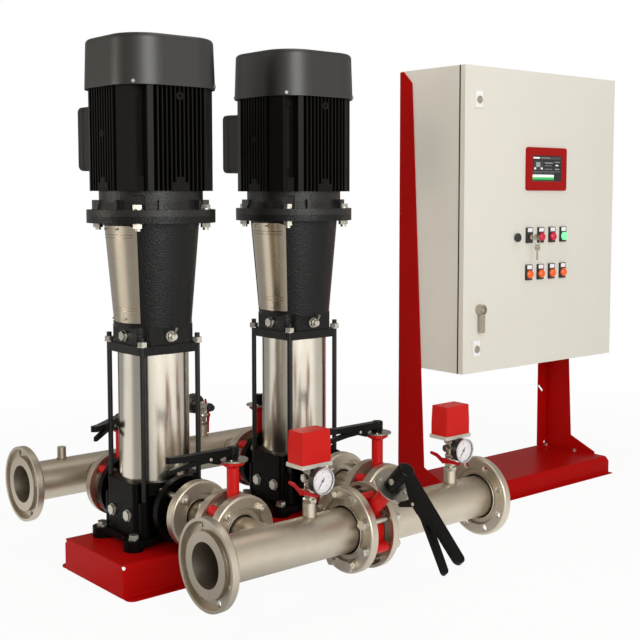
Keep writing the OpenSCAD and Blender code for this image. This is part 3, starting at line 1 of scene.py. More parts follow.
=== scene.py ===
# Fire pump set: finishes on the imported model, small trim (gauge faces, caps and pins of the valve levers,
# flange lips with dark rings of painted shade in their gaps, weld beads, labels, door seal that also stands in
# as painted shade of the door's seam, display), studio and camera.
# Lengths are in millimetres where a name ends in Mm and in the tables of places, otherwise in metres.
# Part frame: +X along the manifolds toward the cabinet, -Y the discharge side, +Z up.
import math

import bpy
import bmesh
from mathutils import Matrix, Vector


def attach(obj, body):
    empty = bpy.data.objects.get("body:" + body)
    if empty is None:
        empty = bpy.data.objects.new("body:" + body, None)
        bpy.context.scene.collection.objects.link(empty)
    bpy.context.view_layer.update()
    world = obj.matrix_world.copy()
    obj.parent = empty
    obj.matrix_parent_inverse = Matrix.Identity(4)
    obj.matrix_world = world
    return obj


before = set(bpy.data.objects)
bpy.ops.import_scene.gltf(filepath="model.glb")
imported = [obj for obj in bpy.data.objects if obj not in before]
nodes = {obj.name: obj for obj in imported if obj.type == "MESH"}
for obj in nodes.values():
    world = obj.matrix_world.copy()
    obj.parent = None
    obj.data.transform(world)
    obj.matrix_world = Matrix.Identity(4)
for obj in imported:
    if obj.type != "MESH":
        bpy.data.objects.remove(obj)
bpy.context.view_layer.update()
mm = 0.001

pumps = (0, 500)  # x of the pumps in the source, which has pump 1 on its Z axis
discharge, suction = -571, 381  # y of the manifolds
layout = {  # other places in the source
    "centre": (816.75, -222.787),  # middle of the whole set
    "pipeZ": 193,
    "door": (1050, -191, 454),  # lower left corner of the door's front skin
    # x, y and the way the gauge faces
    "instruments": ((90, discharge, 1), (590, discharge, 1), (416, suction, -1)),
    "gaugeZ": 348,
    "lampX": (323, 384, 445, 506),  # lamps, from the door's lower left corner
    "lampZ": (441, 314),
}


def place(x, y, z):  # a point of the source, in the part frame
    return Vector((x - layout["centre"][0], y - layout["centre"][1], z)) * mm


def onDoor(x, z, depth=0):  # a point of the door, from its lower left corner, depth in front of the skin
    corner = layout["door"]
    return place(corner[0] + x, corner[1] - depth, corner[2] + z)


def rotated(degrees, axis):  # a turn about a local axis
    return Matrix.Rotation(math.radians(degrees), 4, axis)


def linear(hexColour):  # sRGB hex to linear RGBA
    parts = [int(hexColour[i:i + 2], 16) / 255 for i in (1, 3, 5)]
    return [c / 12.92 if c <= 0.04045 else ((c + 0.055) / 1.055) ** 2.4 for c in parts] + [1.0]


def addNode(tree, kind, links=None, **settings):  # one node, its settings, and links into its sockets
    node = tree.nodes.new(kind)
    values = settings.pop("values", {})
    for key, value in settings.items():
        setattr(node, key, value)
    for key, value in values.items():
        node.inputs[key].default_value = value
    for key, source in (links or {}).items():
        tree.links.new(source, node.inputs[key])
    return node


def newMaterial(name):  # a new material, its tree and its shader
    material = bpy.data.materials.new(name)
    material.use_nodes = True
    return material, material.node_tree, material.node_tree.nodes["Principled BSDF"]


def paint(piece, material):  # one material on a whole piece
    piece.data.materials.clear()
    piece.data.materials.append(material)


# Finishes. mottleMm is the size of the colour patches, grainMm the size of the surface texture and bumpMm its
# depth, stretch lengthens the grain along an axis, edgeMm rounds sharp edges in the shading, glow is the
# strength of a finish's own light, and on the unlit lamp caps a painted glow. A grain of about 1 mm is finer
# on the real surface and drawn to show.
finishes = {
    # polyester powder coat on folded sheet: glossy, faint orange peel
    "powderCoatRed": {"colour": "#b30c0a", "second": "#a50a08", "mottleMm": 160, "roughness": 0.36,
                      "specular": 0.04, "grainMm": 1.6, "bumpMm": 0.05, "edgeMm": 1.5},
    # textured powder coat on the enclosure: pale warm grey, fine even grain, soft sheen
    "powderCoatGrey": {"colour": "#e5e3da", "second": "#e2dfd5", "mottleMm": 220, "roughness": 0.5,
                       "specular": 0.3, "grainMm": 1.1, "bumpMm": 0.04, "edgeMm": 1.5},
    # epoxy-coated ductile iron: bright red, glossy, with the softness of a sand casting under it
    "epoxyRed": {"colour": "#cf1a17", "second": "#bd1512", "mottleMm": 30, "roughness": 0.3,
                 "specular": 0.22, "grainMm": 3.5, "bumpMm": 0.18, "edgeMm": 1.2},
    # cathodic black coat on grey iron: the sand texture shows as small glints, drawn coarser and deeper
    "castIronBlack": {"colour": "#0a0908", "second": "#060605", "mottleMm": 25, "roughness": 0.3,
                      "specular": 0.24, "grainMm": 4.8, "bumpMm": 1.8, "edgeMm": 1.2},
    # the same coat on the pump bases and check valves, matt and darker
    "baseIronBlack": {"colour": "#070605", "second": "#050403", "mottleMm": 25, "roughness": 0.4,
                      "specular": 0.07, "grainMm": 5.0, "bumpMm": 1.2, "edgeMm": 1.2},
    # the same coat on the machined rims of the motor shields, with more sheen
    "shieldIronBlack": {"colour": "#1a1917", "second": "#131210", "mottleMm": 25, "roughness": 0.36,
                        "specular": 0.36, "grainMm": 5.0, "bumpMm": 1.3, "edgeMm": 1.2},
    # satin black paint on die-cast motor ribs: even and deep
    "motorBlack": {"colour": "#0e0c08", "second": "#080705", "mottleMm": 60, "roughness": 0.42,
                   "specular": 0.13, "grainMm": 1.8, "bumpMm": 0.12, "edgeMm": 0.8},
    # dark grey satin paint on deep-drawn sheet: smooth, with a broad sheen
    "fanCoverGrey": {"colour": "#1b1a18", "second": "#181715", "mottleMm": 140, "roughness": 0.42,
                     "specular": 0.66, "grainMm": 1.2, "bumpMm": 0.03, "edgeMm": 1.0},
    # the same paint on the die-cast terminal boxes: more matt
    "boxGrey": {"colour": "#24231f", "second": "#1f1e1b", "mottleMm": 90, "roughness": 0.48,
                "specular": 0.26, "grainMm": 1.4, "bumpMm": 0.05, "edgeMm": 1.5},
    # polished stainless tube: sharp vertical streaks from rolling
    "sleeveSteel": {"colour": "#dcd5c7", "second": "#cbc3b4", "mottleMm": 60, "roughness": 0.2,
                    "metallic": 1.0, "grainMm": 1.2, "bumpMm": 0.012, "stretch": (1, 1, 0.012), "edgeMm": 0.5},
    # brushed stainless sheet of the coupling guards: warm, with long soft streaks
    "guardSteel": {"colour": "#cbbfab", "second": "#bfb29d", "mottleMm": 50, "roughness": 0.25,
                   "metallic": 1.0, "grainMm": 0.9, "bumpMm": 0.012, "stretch": (1, 1, 0.02), "edgeMm": 0.6},
    # pickled and bead-blasted stainless pipe: matt, warm, lightly cloudy
    "pipeSteel": {"colour": "#cac1b1", "second": "#b9af9f", "mottleMm": 45, "roughness": 0.43,
                  "metallic": 1.0, "grainMm": 0.9, "bumpMm": 0.03, "edgeMm": 0.8},
    # bright zinc plate on bolts and nuts: light, slightly clouded
    "zincBolt": {"colour": "#d0ccc1", "second": "#b6b1a5", "mottleMm": 9, "roughness": 0.38,
                 "metallic": 1.0, "grainMm": 0.7, "bumpMm": 0.03, "edgeMm": 0.7},
    # black oxide on the long staybolts, a dull metal
    "blackOxide": {"colour": "#2a2a29", "second": "#1f1f1e", "mottleMm": 20, "roughness": 0.38,
                   "metallic": 0.6, "grainMm": 0.8, "bumpMm": 0.02, "edgeMm": 0.5},
    # machined steel of the hidden moving parts: bright and even
    "machinedSteel": {"colour": "#a8a6a0", "second": "#96948e", "mottleMm": 15, "roughness": 0.3,
                      "metallic": 1.0, "grainMm": 0.8, "bumpMm": 0.02, "edgeMm": 0.5},
    # nickel-plated brass fittings and locks: warm and shiny
    "nickelBrass": {"colour": "#c4bdaf", "second": "#aba394", "mottleMm": 8, "roughness": 0.24,
                    "metallic": 1.0, "grainMm": 0.8, "bumpMm": 0.02, "edgeMm": 0.6},
    # galvanised sheet of the ratchet plates: grey, with dull patches
    "ratchetSteel": {"colour": "#b0aca2", "second": "#949086", "mottleMm": 6, "roughness": 0.34,
                     "metallic": 1.0, "grainMm": 0.8, "bumpMm": 0.03, "edgeMm": 0.4},
    # galvanised plate in the cabinet: pale, with the broad flower of the zinc
    "galvanised": {"colour": "#b9b9b4", "second": "#a4a49f", "mottleMm": 12, "roughness": 0.4,
                   "metallic": 1.0, "grainMm": 4, "bumpMm": 0.01, "edgeMm": 0.6},
    # satin black powder coat on the valve levers: a soft light along the edges
    "leverBlack": {"colour": "#0b0b0a", "second": "#080807", "mottleMm": 30, "roughness": 0.34,
                   "specular": 0.13, "grainMm": 1.2, "bumpMm": 0.05, "edgeMm": 0.8},
    # dipped red coat on the cock handles: thick, rounded at the edges
    "dippedRed": {"colour": "#bb151a", "second": "#a81116", "mottleMm": 12, "roughness": 0.34,
                  "specular": 0.2, "grainMm": 1.5, "bumpMm": 0.04, "edgeMm": 0.8},
    # injection-moulded ABS, red: smooth, with a satin light
    "absRed": {"colour": "#c8211c", "second": "#bf1d18", "mottleMm": 60, "roughness": 0.36,
               "specular": 0.1, "grainMm": 0.9, "bumpMm": 0.015, "edgeMm": 1.5},
    # painted ABS frame of the display: deeper red, glossy
    "frameRed": {"colour": "#a81614", "second": "#9e1311", "mottleMm": 90, "roughness": 0.3,
                 "specular": 0.08, "grainMm": 0.9, "bumpMm": 0.01, "edgeMm": 1.5},
    # glass-filled nylon, moulded: matt black with a fine grain
    "nylonBlack": {"colour": "#232324", "second": "#1b1b1c", "mottleMm": 20, "roughness": 0.5,
                   "grainMm": 0.8, "bumpMm": 0.03, "edgeMm": 0.6},
    # moulded ABS of the switch plates: pale warm grey, matt
    "absGrey": {"colour": "#c9c5ba", "second": "#bdb9ae", "mottleMm": 30, "roughness": 0.45,
                "grainMm": 0.8, "bumpMm": 0.02, "edgeMm": 0.6},
    # moulded phenolic of the gauge cases: black, with a low shine
    "gaugeCase": {"colour": "#191919", "second": "#121212", "mottleMm": 20, "roughness": 0.35,
                  "grainMm": 0.9, "bumpMm": 0.02, "edgeMm": 0.6},
    # EPDM rubber of the valve liners and the door seal, which also stands in as painted shade of the door's
    # seam: dull black
    "rubber": {"colour": "#1f1f1f", "second": "#171717", "mottleMm": 15, "roughness": 0.7,
               "grainMm": 1.4, "bumpMm": 0.06, "edgeMm": 0.6},
    # moulded polycarbonate lamp caps: clear colour, the green one lit with a glow of its own; the faint glow
    # of the unlit orange and red caps is painted light
    "lensOrange": {"colour": "#f0641e", "second": "#e65a17", "mottleMm": 12, "roughness": 0.25,
                   "grainMm": 2.0, "bumpMm": 0.05, "edgeMm": 0.8, "glow": 0.12},
    "lensRed": {"colour": "#d5103c", "second": "#c40d34", "mottleMm": 12, "roughness": 0.25,
                "grainMm": 2.0, "bumpMm": 0.05, "edgeMm": 0.8, "glow": 0.06},
    "lensGreen": {"colour": "#4df08a", "second": "#8effb0", "mottleMm": 12, "roughness": 0.25,
                  "grainMm": 2.0, "bumpMm": 0.05, "edgeMm": 0.8, "glow": 0.6},
    # satin chromed brass of the gauge bezels: a light ring that takes a soft edge
    "bezelChrome": {"colour": "#c8c3c4", "second": "#b9b4b5", "mottleMm": 12, "roughness": 0.42,
                    "metallic": 0.75, "grainMm": 0.8, "bumpMm": 0.01, "edgeMm": 0.5},
    # painted shade: a flat dark colour for the unlit depth of a narrow gap
    "gapBlack": {"colour": "#0b0a09", "second": "#080706", "mottleMm": 20, "roughness": 0.8,
                 "specular": 0.05, "grainMm": 1.0, "bumpMm": 0.01},
    # printed card: flat white, and the ink on it without any shine
    "paperWhite": {"colour": "#fbf9fb", "second": "#f5f3f5", "mottleMm": 20, "roughness": 0.6,
                   "grainMm": 0.6, "bumpMm": 0.01},
    "dialWhite": {"colour": "#f1eaee", "second": "#ebe3e8", "mottleMm": 30, "roughness": 0.5,
                  "grainMm": 0.6, "bumpMm": 0.005},
    "scaleInk": {"colour": "#77747c", "second": "#6c6972", "mottleMm": 20, "roughness": 0.55,
                 "grainMm": 0.5, "bumpMm": 0.005},
    "inkBlack": {"colour": "#141414", "second": "#0e0e0e", "mottleMm": 20, "roughness": 0.55,
                 "grainMm": 0.5, "bumpMm": 0.005},
    # weld bead: a little darker and browner than the pipe
    "weldSteel": {"colour": "#a2937c", "second": "#86765f", "mottleMm": 9, "roughness": 0.42,
                  "metallic": 1.0, "grainMm": 1.2, "bumpMm": 0.08},
}

texture = {"mottleDetail": 3.0, "mottleRoughness": 0.6, "grainDetail": 2.0, "grainRoughness": 0.55,
           "grainRange": (0.3, 0.7),  # noise values between which the roughness moves
           "spread": 0.12,  # share by which it moves either way
           "edgeSamples": 4}


def finishNodes(tree, look):  # colour, roughness and height of one finish; returns their sockets
    where = addNode(tree, "ShaderNodeTexCoord").outputs["Object"]
    grainAt = where
    if "stretch" in look:
        stretched = addNode(tree, "ShaderNodeMapping", {"Vector": where}, values={"Scale": look["stretch"]})
        grainAt = stretched.outputs[0]
    mottle = addNode(tree, "ShaderNodeTexNoise", {"Vector": where},
                     values={"Scale": 1 / (look["mottleMm"] * mm), "Detail": texture["mottleDetail"],
                             "Roughness": texture["mottleRoughness"]})
    grain = addNode(tree, "ShaderNodeTexNoise", {"Vector": grainAt},
                    values={"Scale": 1 / (look["grainMm"] * mm), "Detail": texture["grainDetail"],
                            "Roughness": texture["grainRoughness"]})
    colour = addNode(tree, "ShaderNodeMix", {"Factor": mottle.outputs["Fac"]}, data_type="RGBA",
                     values={"A": linear(look["colour"]), "B": linear(look["second"])})
    low, high = texture["grainRange"]
    rough = addNode(tree, "ShaderNodeMapRange", {"Value": grain.outputs["Fac"]},
                    values={"From Min": low, "From Max": high,
                            "To Min": look["roughness"] * (1 - texture["spread"]),
                            "To Max": look["roughness"] * (1 + texture["spread"])})
    return colour.outputs["Result"], rough.outputs["Result"], grain.outputs["Fac"]


def insideBox(tree, corner, opposite):  # 1 inside a box of the part frame, 0 outside
    centre, half = (corner + opposite) / 2, (opposite - corner) / 2
    where = addNode(tree, "ShaderNodeTexCoord").outputs["Object"]
    offset = addNode(tree, "ShaderNodeVectorMath", {0: where}, operation="SUBTRACT", values={1: centre})
    share = addNode(tree, "ShaderNodeVectorMath", {0: offset.outputs[0]}, operation="DIVIDE", values={1: half})
    size = addNode(tree, "ShaderNodeVectorMath", {0: share.outputs[0]}, operation="ABSOLUTE")
    axes = addNode(tree, "ShaderNodeSeparateXYZ", {0: size.outputs[0]})
    across = addNode(tree, "ShaderNodeMath", {0: axes.outputs[0], 1: axes.outputs[1]}, operation="MAXIMUM")
    most = addNode(tree, "ShaderNodeMath", {0: across.outputs[0], 1: axes.outputs[2]}, operation="MAXIMUM")
    inside = addNode(tree, "ShaderNodeMath", {0: most.outputs[0]}, operation="LESS_THAN", values={1: 1.0})
    return inside.outputs[0]


def makeMaterial(name, finish, zones=()):  # a zone is another finish and the two corners of its box
    material, tree, shader = newMaterial(name)
    look = finishes[finish]
    colour, rough, grain = finishNodes(tree, look)
    plain = {"metallic": look.get("metallic", 0.0), "glow": look.get("glow", 0.0)}
    mixed = {}  # sockets, where a zone's value differs from the plain one
    for other, corner, opposite in zones:
        second = finishes[other]
        mask = insideBox(tree, corner, opposite)
        otherColour, otherRough, _ = finishNodes(tree, second)
        colour = addNode(tree, "ShaderNodeMix", {"Factor": mask, "A": colour, "B": otherColour},
                         data_type="RGBA").outputs["Result"]
        rough = addNode(tree, "ShaderNodeMix", {"Factor": mask, "A": rough, "B": otherRough}).outputs["Result"]
        for key, value in plain.items():
            wanted = second.get(key, 0.0)
            if key in mixed or wanted != value:
                mix = addNode(tree, "ShaderNodeMix", {"Factor": mask}, values={"A": value, "B": wanted})
                if key in mixed:
                    tree.links.new(mixed[key], mix.inputs["A"])
                mixed[key] = mix.outputs["Result"]
    tree.links.new(colour, shader.inputs["Base Color"])
    tree.links.new(rough, shader.inputs["Roughness"])
    shader.inputs["Specular IOR Level"].default_value = look.get("specular", 0.5)
    if plain["glow"] or "glow" in mixed:
        tree.links.new(colour, shader.inputs["Emission Color"])
    for key, socket in (("metallic", "Metallic"), ("glow", "Emission Strength")):
        shader.inputs[socket].default_value = plain[key]
        if key in mixed:
            tree.links.new(mixed[key], shader.inputs[socket])
    bump = addNode(tree, "ShaderNodeBump", {"Height": grain},
                   values={"Strength": 1.0, "Distance": look["bumpMm"] * mm})
    if "edgeMm" in look:
        edge = addNode(tree, "ShaderNodeBevel", samples=texture["edgeSamples"],
                       values={"Radius": look["edgeMm"] * mm})
        tree.links.new(edge.outputs[0], bump.inputs["Normal"])
    tree.links.new(bump.outputs[0], shader.inputs["Normal"])
    return material


dressed = {  # each finish and the CAD nodes that it covers
    "powderCoatRed": ("plinth", "stand_base", "uprights"),
    "powderCoatGrey": ("cabinet_body", "cabinet_door"),
    "galvanised": ("mounting_plate",),
    "nickelBrass": ("lock_upper", "lock_lower", "door_handle", "key_switch"),
    "nylonBlack": ("push_button", "lamp_holders"),
    "zincBolt": ("small_screws", "pump_bolts", "pump_plugs", "flange_bolts"),
    "baseIronBlack": ("pump_bases", "check_bodies"),
    "castIronBlack": ("pump_heads",),
    "sleeveSteel": ("outer_sleeves",),
    "machinedSteel": ("chamber_stacks", "rotor_1", "rotor_2", "check_disc_1", "check_disc_2"),
    "guardSteel": ("coupling_guards",),
    "motorBlack": ("motor_frames",),
    "shieldIronBlack": ("motor_shields",),
    "fanCoverGrey": ("fan_covers",),
    "boxGrey": ("terminal_boxes",),
    "pipeSteel": ("suction_manifold", "discharge_manifold", "spools", "loose_flanges"),
    "epoxyRed": ("valve_bodies",),
    "rubber": ("valve_liners",),
    "ratchetSteel": ("ratchet_plates",),
    "gaugeCase": ("gauge_cases",),
    "absRed": ("switch_covers",),
    "leverBlack": ["lever_%d" % i for i in range(1, 6)] + ["trigger_%d" % i for i in range(1, 6)],
    "dippedRed": ["iso_handle_%d" % i for i in range(1, 4)],
    "inkBlack": ["needle_%d" % i for i in range(1, 4)],
}

lampX, lampZ = layout["lampX"], layout["lampZ"]
allAround = 3000  # reaches past the whole set
lampReach, lampDepth = 20, 30  # from the middle of a lamp to the edge of its zone
zoned = {  # CAD nodes with a second finish inside a box
    "stay_bolts": ("blackOxide", [  # the nuts on top
        ("zincBolt", place(-allAround, -allAround, 634), place(allAround, allAround, 648.3))]),
    "switch_bases": ("nylonBlack", [  # the plate under the hood
        ("absGrey", place(-allAround, -allAround, 382.9), place(allAround, allAround, 387.2))]),
    "gauge_fittings": ("nickelBrass", [  # the cap of the rear fitting
        ("nylonBlack", place(400, 320, 330), place(432, 334.2, 366))]),
    "hmi_panel": ("frameRed", [  # everything behind the frame
        ("nylonBlack", onDoor(250, 550, -1), onDoor(570, 800, -120))]),
    "lamp_lenses": ("lensOrange", [
        ("lensRed", onDoor(lampX[1] - lampReach, lampZ[0] - lampReach, lampDepth),
         onDoor(lampX[2] + lampReach, lampZ[0] + lampReach, -lampDepth)),
        ("lensGreen", onDoor(lampX[3] - lampReach, lampZ[0] - lampReach, lampDepth),
         onDoor(lampX[3] + lampReach, lampZ[0] + lampReach, -lampDepth))]),
}

materials = {finish: makeMaterial(finish, finish) for finish in finishes}
left = set(nodes)
for finish, names in dressed.items():
    for name in names:
        paint(nodes[name], materials[finish])
        left.remove(name)
for name, (finish, zones) in zoned.items():
    paint(nodes[name], makeMaterial(name + "Finish", finish, zones))
    left.remove(name)
print("finishes on", len(nodes) - len(left), "nodes, left", sorted(left))


def addObject(name, data):  # a new object in the scene
    made = bpy.data.objects.new(name, data)
    bpy.context.scene.collection.objects.link(made)
    return made


def newPiece(name, mesh, finish, body):  # a finished mesh in the part frame, riding on a body
    piece = addObject(name, mesh)
    paint(piece, materials[finish] if isinstance(finish, str) else finish)
    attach(piece, body)
    return piece


def meshFrom(name, bm, smooth=None):  # closes a bmesh into a mesh, normals outward, smooth below an angle
    bmesh.ops.recalc_face_normals(bm, faces=bm.faces)
    mesh = bpy.data.meshes.new(name)
    bm.to_mesh(mesh)
    bm.free()
    if smooth is not None:
        for face in mesh.polygons:
            face.use_smooth = True
        mesh.set_sharp_from_angle(angle=math.radians(smooth))
    return mesh


def turned(bm, profile, matrix, sides):  # turns a closed profile of (radius, height) in mm about Z
    rings = []
    for radius, height in profile:
        r, h = radius * mm, height * mm
        count = sides if radius else 1  # a corner on the axis is one point
        angles = [2 * math.pi * k / sides for k in range(count)]
        rings.append([bm.verts.new(matrix @ Vector((r * math.cos(a), r * math.sin(a), h))) for a in angles])
    pairs = list(zip(rings, rings[1:]))
    if profile[0][0]:
        pairs.append((rings[-1], rings[0]))
    for a, b in pairs:
        for k in range(sides):
            n = (k + 1) % sides
            corners = [a[k % len(a)], a[n % len(a)], b[n % len(b)], b[k % len(b)]]
            corners = list(dict.fromkeys(corners))
            if len(corners) > 2:
                bm.faces.new(corners)


def turnedPiece(name, profile, matrix, sides, finish, body, smooth=None):
    bm = bmesh.new()
    turned(bm, profile, matrix, sides)
    return newPiece(name, meshFrom(name, bm, smooth), finish, body)


def discProfile(radius, low, high):
    return [(0, low), (radius, low), (radius, high), (0, high)]


def capProfile(radius, low, high, rounding, steps=5):  # a disc with a rounded upper edge
    arc = [math.radians(90 * k / steps) for k in range(steps + 1)]
    edge = [(radius - rounding + rounding * math.cos(a), high - rounding + rounding * math.sin(a))
            for a in arc]
    return [(0, low), (radius, low)] + edge + [(0, high)]


def plate(bm, corners, thickness, matrix):  # a flat outline in XY, extruded along Z, in mm
    low = [bm.verts.new(matrix @ Vector((x * mm, y * mm, 0))) for x, y in corners]
    high = [bm.verts.new(matrix @ Vector((x * mm, y * mm, thickness * mm))) for x, y in corners]
    bm.faces.new(low)
    bm.faces.new(high)
    count = len(corners)
    for k in range(count):
        n = (k + 1) % count
        bm.faces.new([low[k], low[n], high[n], high[k]])


def card(bm, width, height, radius, thickness, matrix, steps=3):  # a plate with rounded corners
    points = []
    for cx, cy, start in ((1, 1, 0), (-1, 1, 90), (-1, -1, 180), (1, -1, 270)):
        for k in range(steps + 1):
            a = math.radians(start + 90 * k / steps)
            points.append((cx * (width / 2 - radius) + radius * math.cos(a),
                           cy * (height / 2 - radius) + radius * math.sin(a)))
    plate(bm, points, thickness, matrix)


def facing(at, way=1):  # local Z toward -Y (or +Y with way -1), local Y up
    across = Vector((way, 0, 0))
    up = Vector((0, 0, 1))
    out = Vector((0, -way, 0))
    return Matrix.Translation(at) @ Matrix((across, up, out)).transposed().to_4x4()


def joined(meshes):  # several meshes as one bmesh
    bm = bmesh.new()
    for mesh in meshes:
        bm.from_mesh(mesh)
        bpy.data.meshes.remove(mesh)
    return bm


def startTree(name, inputs, finishInput):  # a Geometry Nodes tree with named inputs, and their sockets
    tree = bpy.data.node_groups.new(name, "GeometryNodeTree")
    tree.interface.new_socket("Geometry", in_out="INPUT", socket_type="NodeSocketGeometry")
    for label, value in inputs.items():
        kind = "NodeSocketInt" if isinstance(value, int) else "NodeSocketFloat"
        tree.interface.new_socket(label, in_out="INPUT", socket_type=kind).default_value = value
    tree.interface.new_socket(finishInput, in_out="INPUT", socket_type="NodeSocketMaterial")
    tree.interface.new_socket("Geometry", in_out="OUTPUT", socket_type="NodeSocketGeometry")
    return tree, addNode(tree, "NodeGroupInput").outputs


def endTree(tree, instances, material):  # makes the instances real and gives them their material
    real = addNode(tree, "GeometryNodeRealizeInstances", {0: instances})
    painted = addNode(tree, "GeometryNodeSetMaterial", {0: real.outputs[0], "Material": material})
    addNode(tree, "NodeGroupOutput", {0: painted.outputs[0]})


def fromNodes(name, tree, settings):  # runs a node tree once and returns the plain mesh
    holder = addObject(name, bpy.data.meshes.new(name))
    modifier = holder.modifiers.new(name, "NODES")
    modifier.node_group = tree
    for item in tree.interface.items_tree:
        if item.in_out == "INPUT" and item.name in settings:
            modifier[item.identifier] = settings[item.name]
    evaluated = holder.evaluated_get(bpy.context.evaluated_depsgraph_get())
    mesh = bpy.data.meshes.new_from_object(evaluated)
    holder.modifiers.clear()
    bpy.data.objects.remove(holder)
    return mesh


# Gauges: white dial, printed marks and numbers, glass and a chromed bezel. A height is from the plane of the
# gauge's stem toward the viewer
gauge = {"dialMm": 30.2, "faceMm": 49.05, "dialThickMm": 0.5, "glassMm": 54.4, "glassThickMm": 0.8,
         "ticks": 41, "longEach": 5, "sweep": 270.0, "tickMm": (2.2, 3.6), "tickWideMm": (0.22, 0.42),
         "tickRadiusMm": 27.2, "numbers": ("0", "4", "8", "12", "16"), "numberMm": 4.8, "numberRadiusMm": 19.6,
         "numberSteps": 3, "inkMm": 0.2, "inkLiftMm": 0.05, "dialSides": 64, "bezelSides": 96, "smooth": 40,
         # radius and height of each corner of the crimped bezel
         "bezelMm": ((30.2, 55.4), (30.2, 56.3), (31.0, 56.9), (32.2, 57.0), (33.0, 56.5), (33.2, 55.4),
                     (33.2, 54.4), (32.8, 54.4), (32.8, 55.4))}
glass = {"Base Color": linear("#fbfcfc"), "Roughness": 0.03, "IOR": 1.5, "Alpha": 0.12}


def tickTree():  # Geometry Nodes: marks along an arc, every fifth one longer
    tree, inlet = startTree("dialMarks", {
        "Count": gauge["ticks"], "Radius": gauge["tickRadiusMm"] * mm, "Sweep": gauge["sweep"],
        "Short": gauge["tickMm"][0] * mm, "Long": gauge["tickMm"][1] * mm,
        "Thin": gauge["tickWideMm"][0] * mm, "Thick": gauge["tickWideMm"][1] * mm}, "Mark")
    points = addNode(tree, "GeometryNodePoints", {"Count": inlet["Count"]})
    index = addNode(tree, "GeometryNodeInputIndex").outputs[0]
    last = addNode(tree, "ShaderNodeMath", {0: inlet["Count"]}, operation="SUBTRACT", values={1: 1})
    share = addNode(tree, "ShaderNodeMath", {0: index, 1: last.outputs[0]}, operation="DIVIDE")
    turn = addNode(tree, "ShaderNodeMath", {0: share.outputs[0], 1: inlet["Sweep"]}, operation="MULTIPLY")
    half = addNode(tree, "ShaderNodeMath", {0: inlet["Sweep"]}, operation="MULTIPLY", values={1: 0.5})
    degrees = addNode(tree, "ShaderNodeMath", {0: half.outputs[0], 1: turn.outputs[0]}, operation="SUBTRACT")
    angle = addNode(tree, "ShaderNodeMath", {0: degrees.outputs[0]}, operation="RADIANS")
    turnBy = addNode(tree, "ShaderNodeCombineXYZ", {"Z": angle.outputs[0]})
    arm = addNode(tree, "ShaderNodeCombineXYZ", {"Y": inlet["Radius"]})
    spot = addNode(tree, "ShaderNodeVectorRotate", {"Vector": arm.outputs[0], "Rotation": turnBy.outputs[0]},
                   rotation_type="EULER_XYZ")
    tree.links.new(spot.outputs[0], points.inputs["Position"])
    fifth = addNode(tree, "ShaderNodeMath", {0: index}, operation="MODULO", values={1: gauge["longEach"]})
    isLong = addNode(tree, "ShaderNodeMath", {0: fifth.outputs[0]}, operation="LESS_THAN", values={1: 0.5})
    chosen = isLong.outputs[0]
    length = addNode(tree, "ShaderNodeMix", {"Factor": chosen, "A": inlet["Short"], "B": inlet["Long"]})
    width = addNode(tree, "ShaderNodeMix", {"Factor": chosen, "A": inlet["Thin"], "B": inlet["Thick"]})
    size = addNode(tree, "ShaderNodeCombineXYZ", {"X": width.outputs[0], "Y": length.outputs[0]},
                   values={"Z": gauge["inkMm"] * mm})
    cube = addNode(tree, "GeometryNodeMeshCube")
    placed = addNode(tree, "GeometryNodeInstanceOnPoints", {
        "Points": points.outputs[0], "Instance": cube.outputs[0], "Rotation": turnBy.outputs[0],
        "Scale": size.outputs[0]})
    endTree(tree, placed.outputs[0], inlet["Mark"])
    return tree


def numberMesh(words, matrix):  # a generic number of the dial as a mesh, centred
    curve = bpy.data.curves.new("numbers", "FONT")
    curve.body, curve.size, curve.extrude = words, gauge["numberMm"] * mm, gauge["inkMm"] * mm / 2
    curve.align_x, curve.align_y = "CENTER", "CENTER"
    curve.resolution_u = gauge["numberSteps"]
    holder = addObject("numbers", curve)
    made = bpy.data.meshes.new_from_object(holder.evaluated_get(bpy.context.evaluated_depsgraph_get()))
    bpy.data.objects.remove(holder)
    made.transform(matrix)
    return made


def gaugeScale(top):  # the marks and numbers on the plane of a dial
    scale = fromNodes("dialMarks", marks, {"Mark": materials["scaleInk"]})
    scale.transform(top)
    parts = [scale]
    radius = gauge["numberRadiusMm"] * mm
    for k, words in enumerate(gauge["numbers"]):
        turn = math.radians(gauge["sweep"] * (0.5 - k / (len(gauge["numbers"]) - 1)))
        spot = Matrix.Translation((-radius * math.sin(turn), radius * math.cos(turn), 0))
        parts.append(numberMesh(words, top @ spot))
    return meshFrom("gaugeScale", joined(parts))


marks = tickTree()
glassMaterial, _, glassShader = newMaterial("gaugeGlass")  # flat soda glass: clear, a faint reflection
for socket, value in glass.items():
    glassShader.inputs[socket].default_value = value
for number, (x, y, way) in enumerate(layout["instruments"], 1):
    face = facing(place(x, y, layout["gaugeZ"]) + Vector((0, -way * gauge["faceMm"] * mm, 0)), way)
    top = face @ Matrix.Translation((0, 0, (gauge["dialThickMm"] + gauge["inkLiftMm"]) * mm))
    lift = gauge["glassMm"] - gauge["faceMm"]
    turnedPiece("gaugeDial%d" % number, discProfile(gauge["dialMm"], 0, gauge["dialThickMm"]), face,
                gauge["dialSides"], "dialWhite", "base")
    newPiece("gaugeScale%d" % number, gaugeScale(top), "scaleInk", "base")
    pane = discProfile(gauge["dialMm"], lift, lift + gauge["glassThickMm"])
    turnedPiece("gaugeGlass%d" % number, pane, face, gauge["dialSides"], glassMaterial, "base")
    turnedPiece("gaugeBezel%d" % number, [(r, h - gauge["faceMm"]) for r, h in gauge["bezelMm"]], face,
                gauge["bezelSides"], "bezelChrome", "base", gauge["smooth"])
print("gauges done")

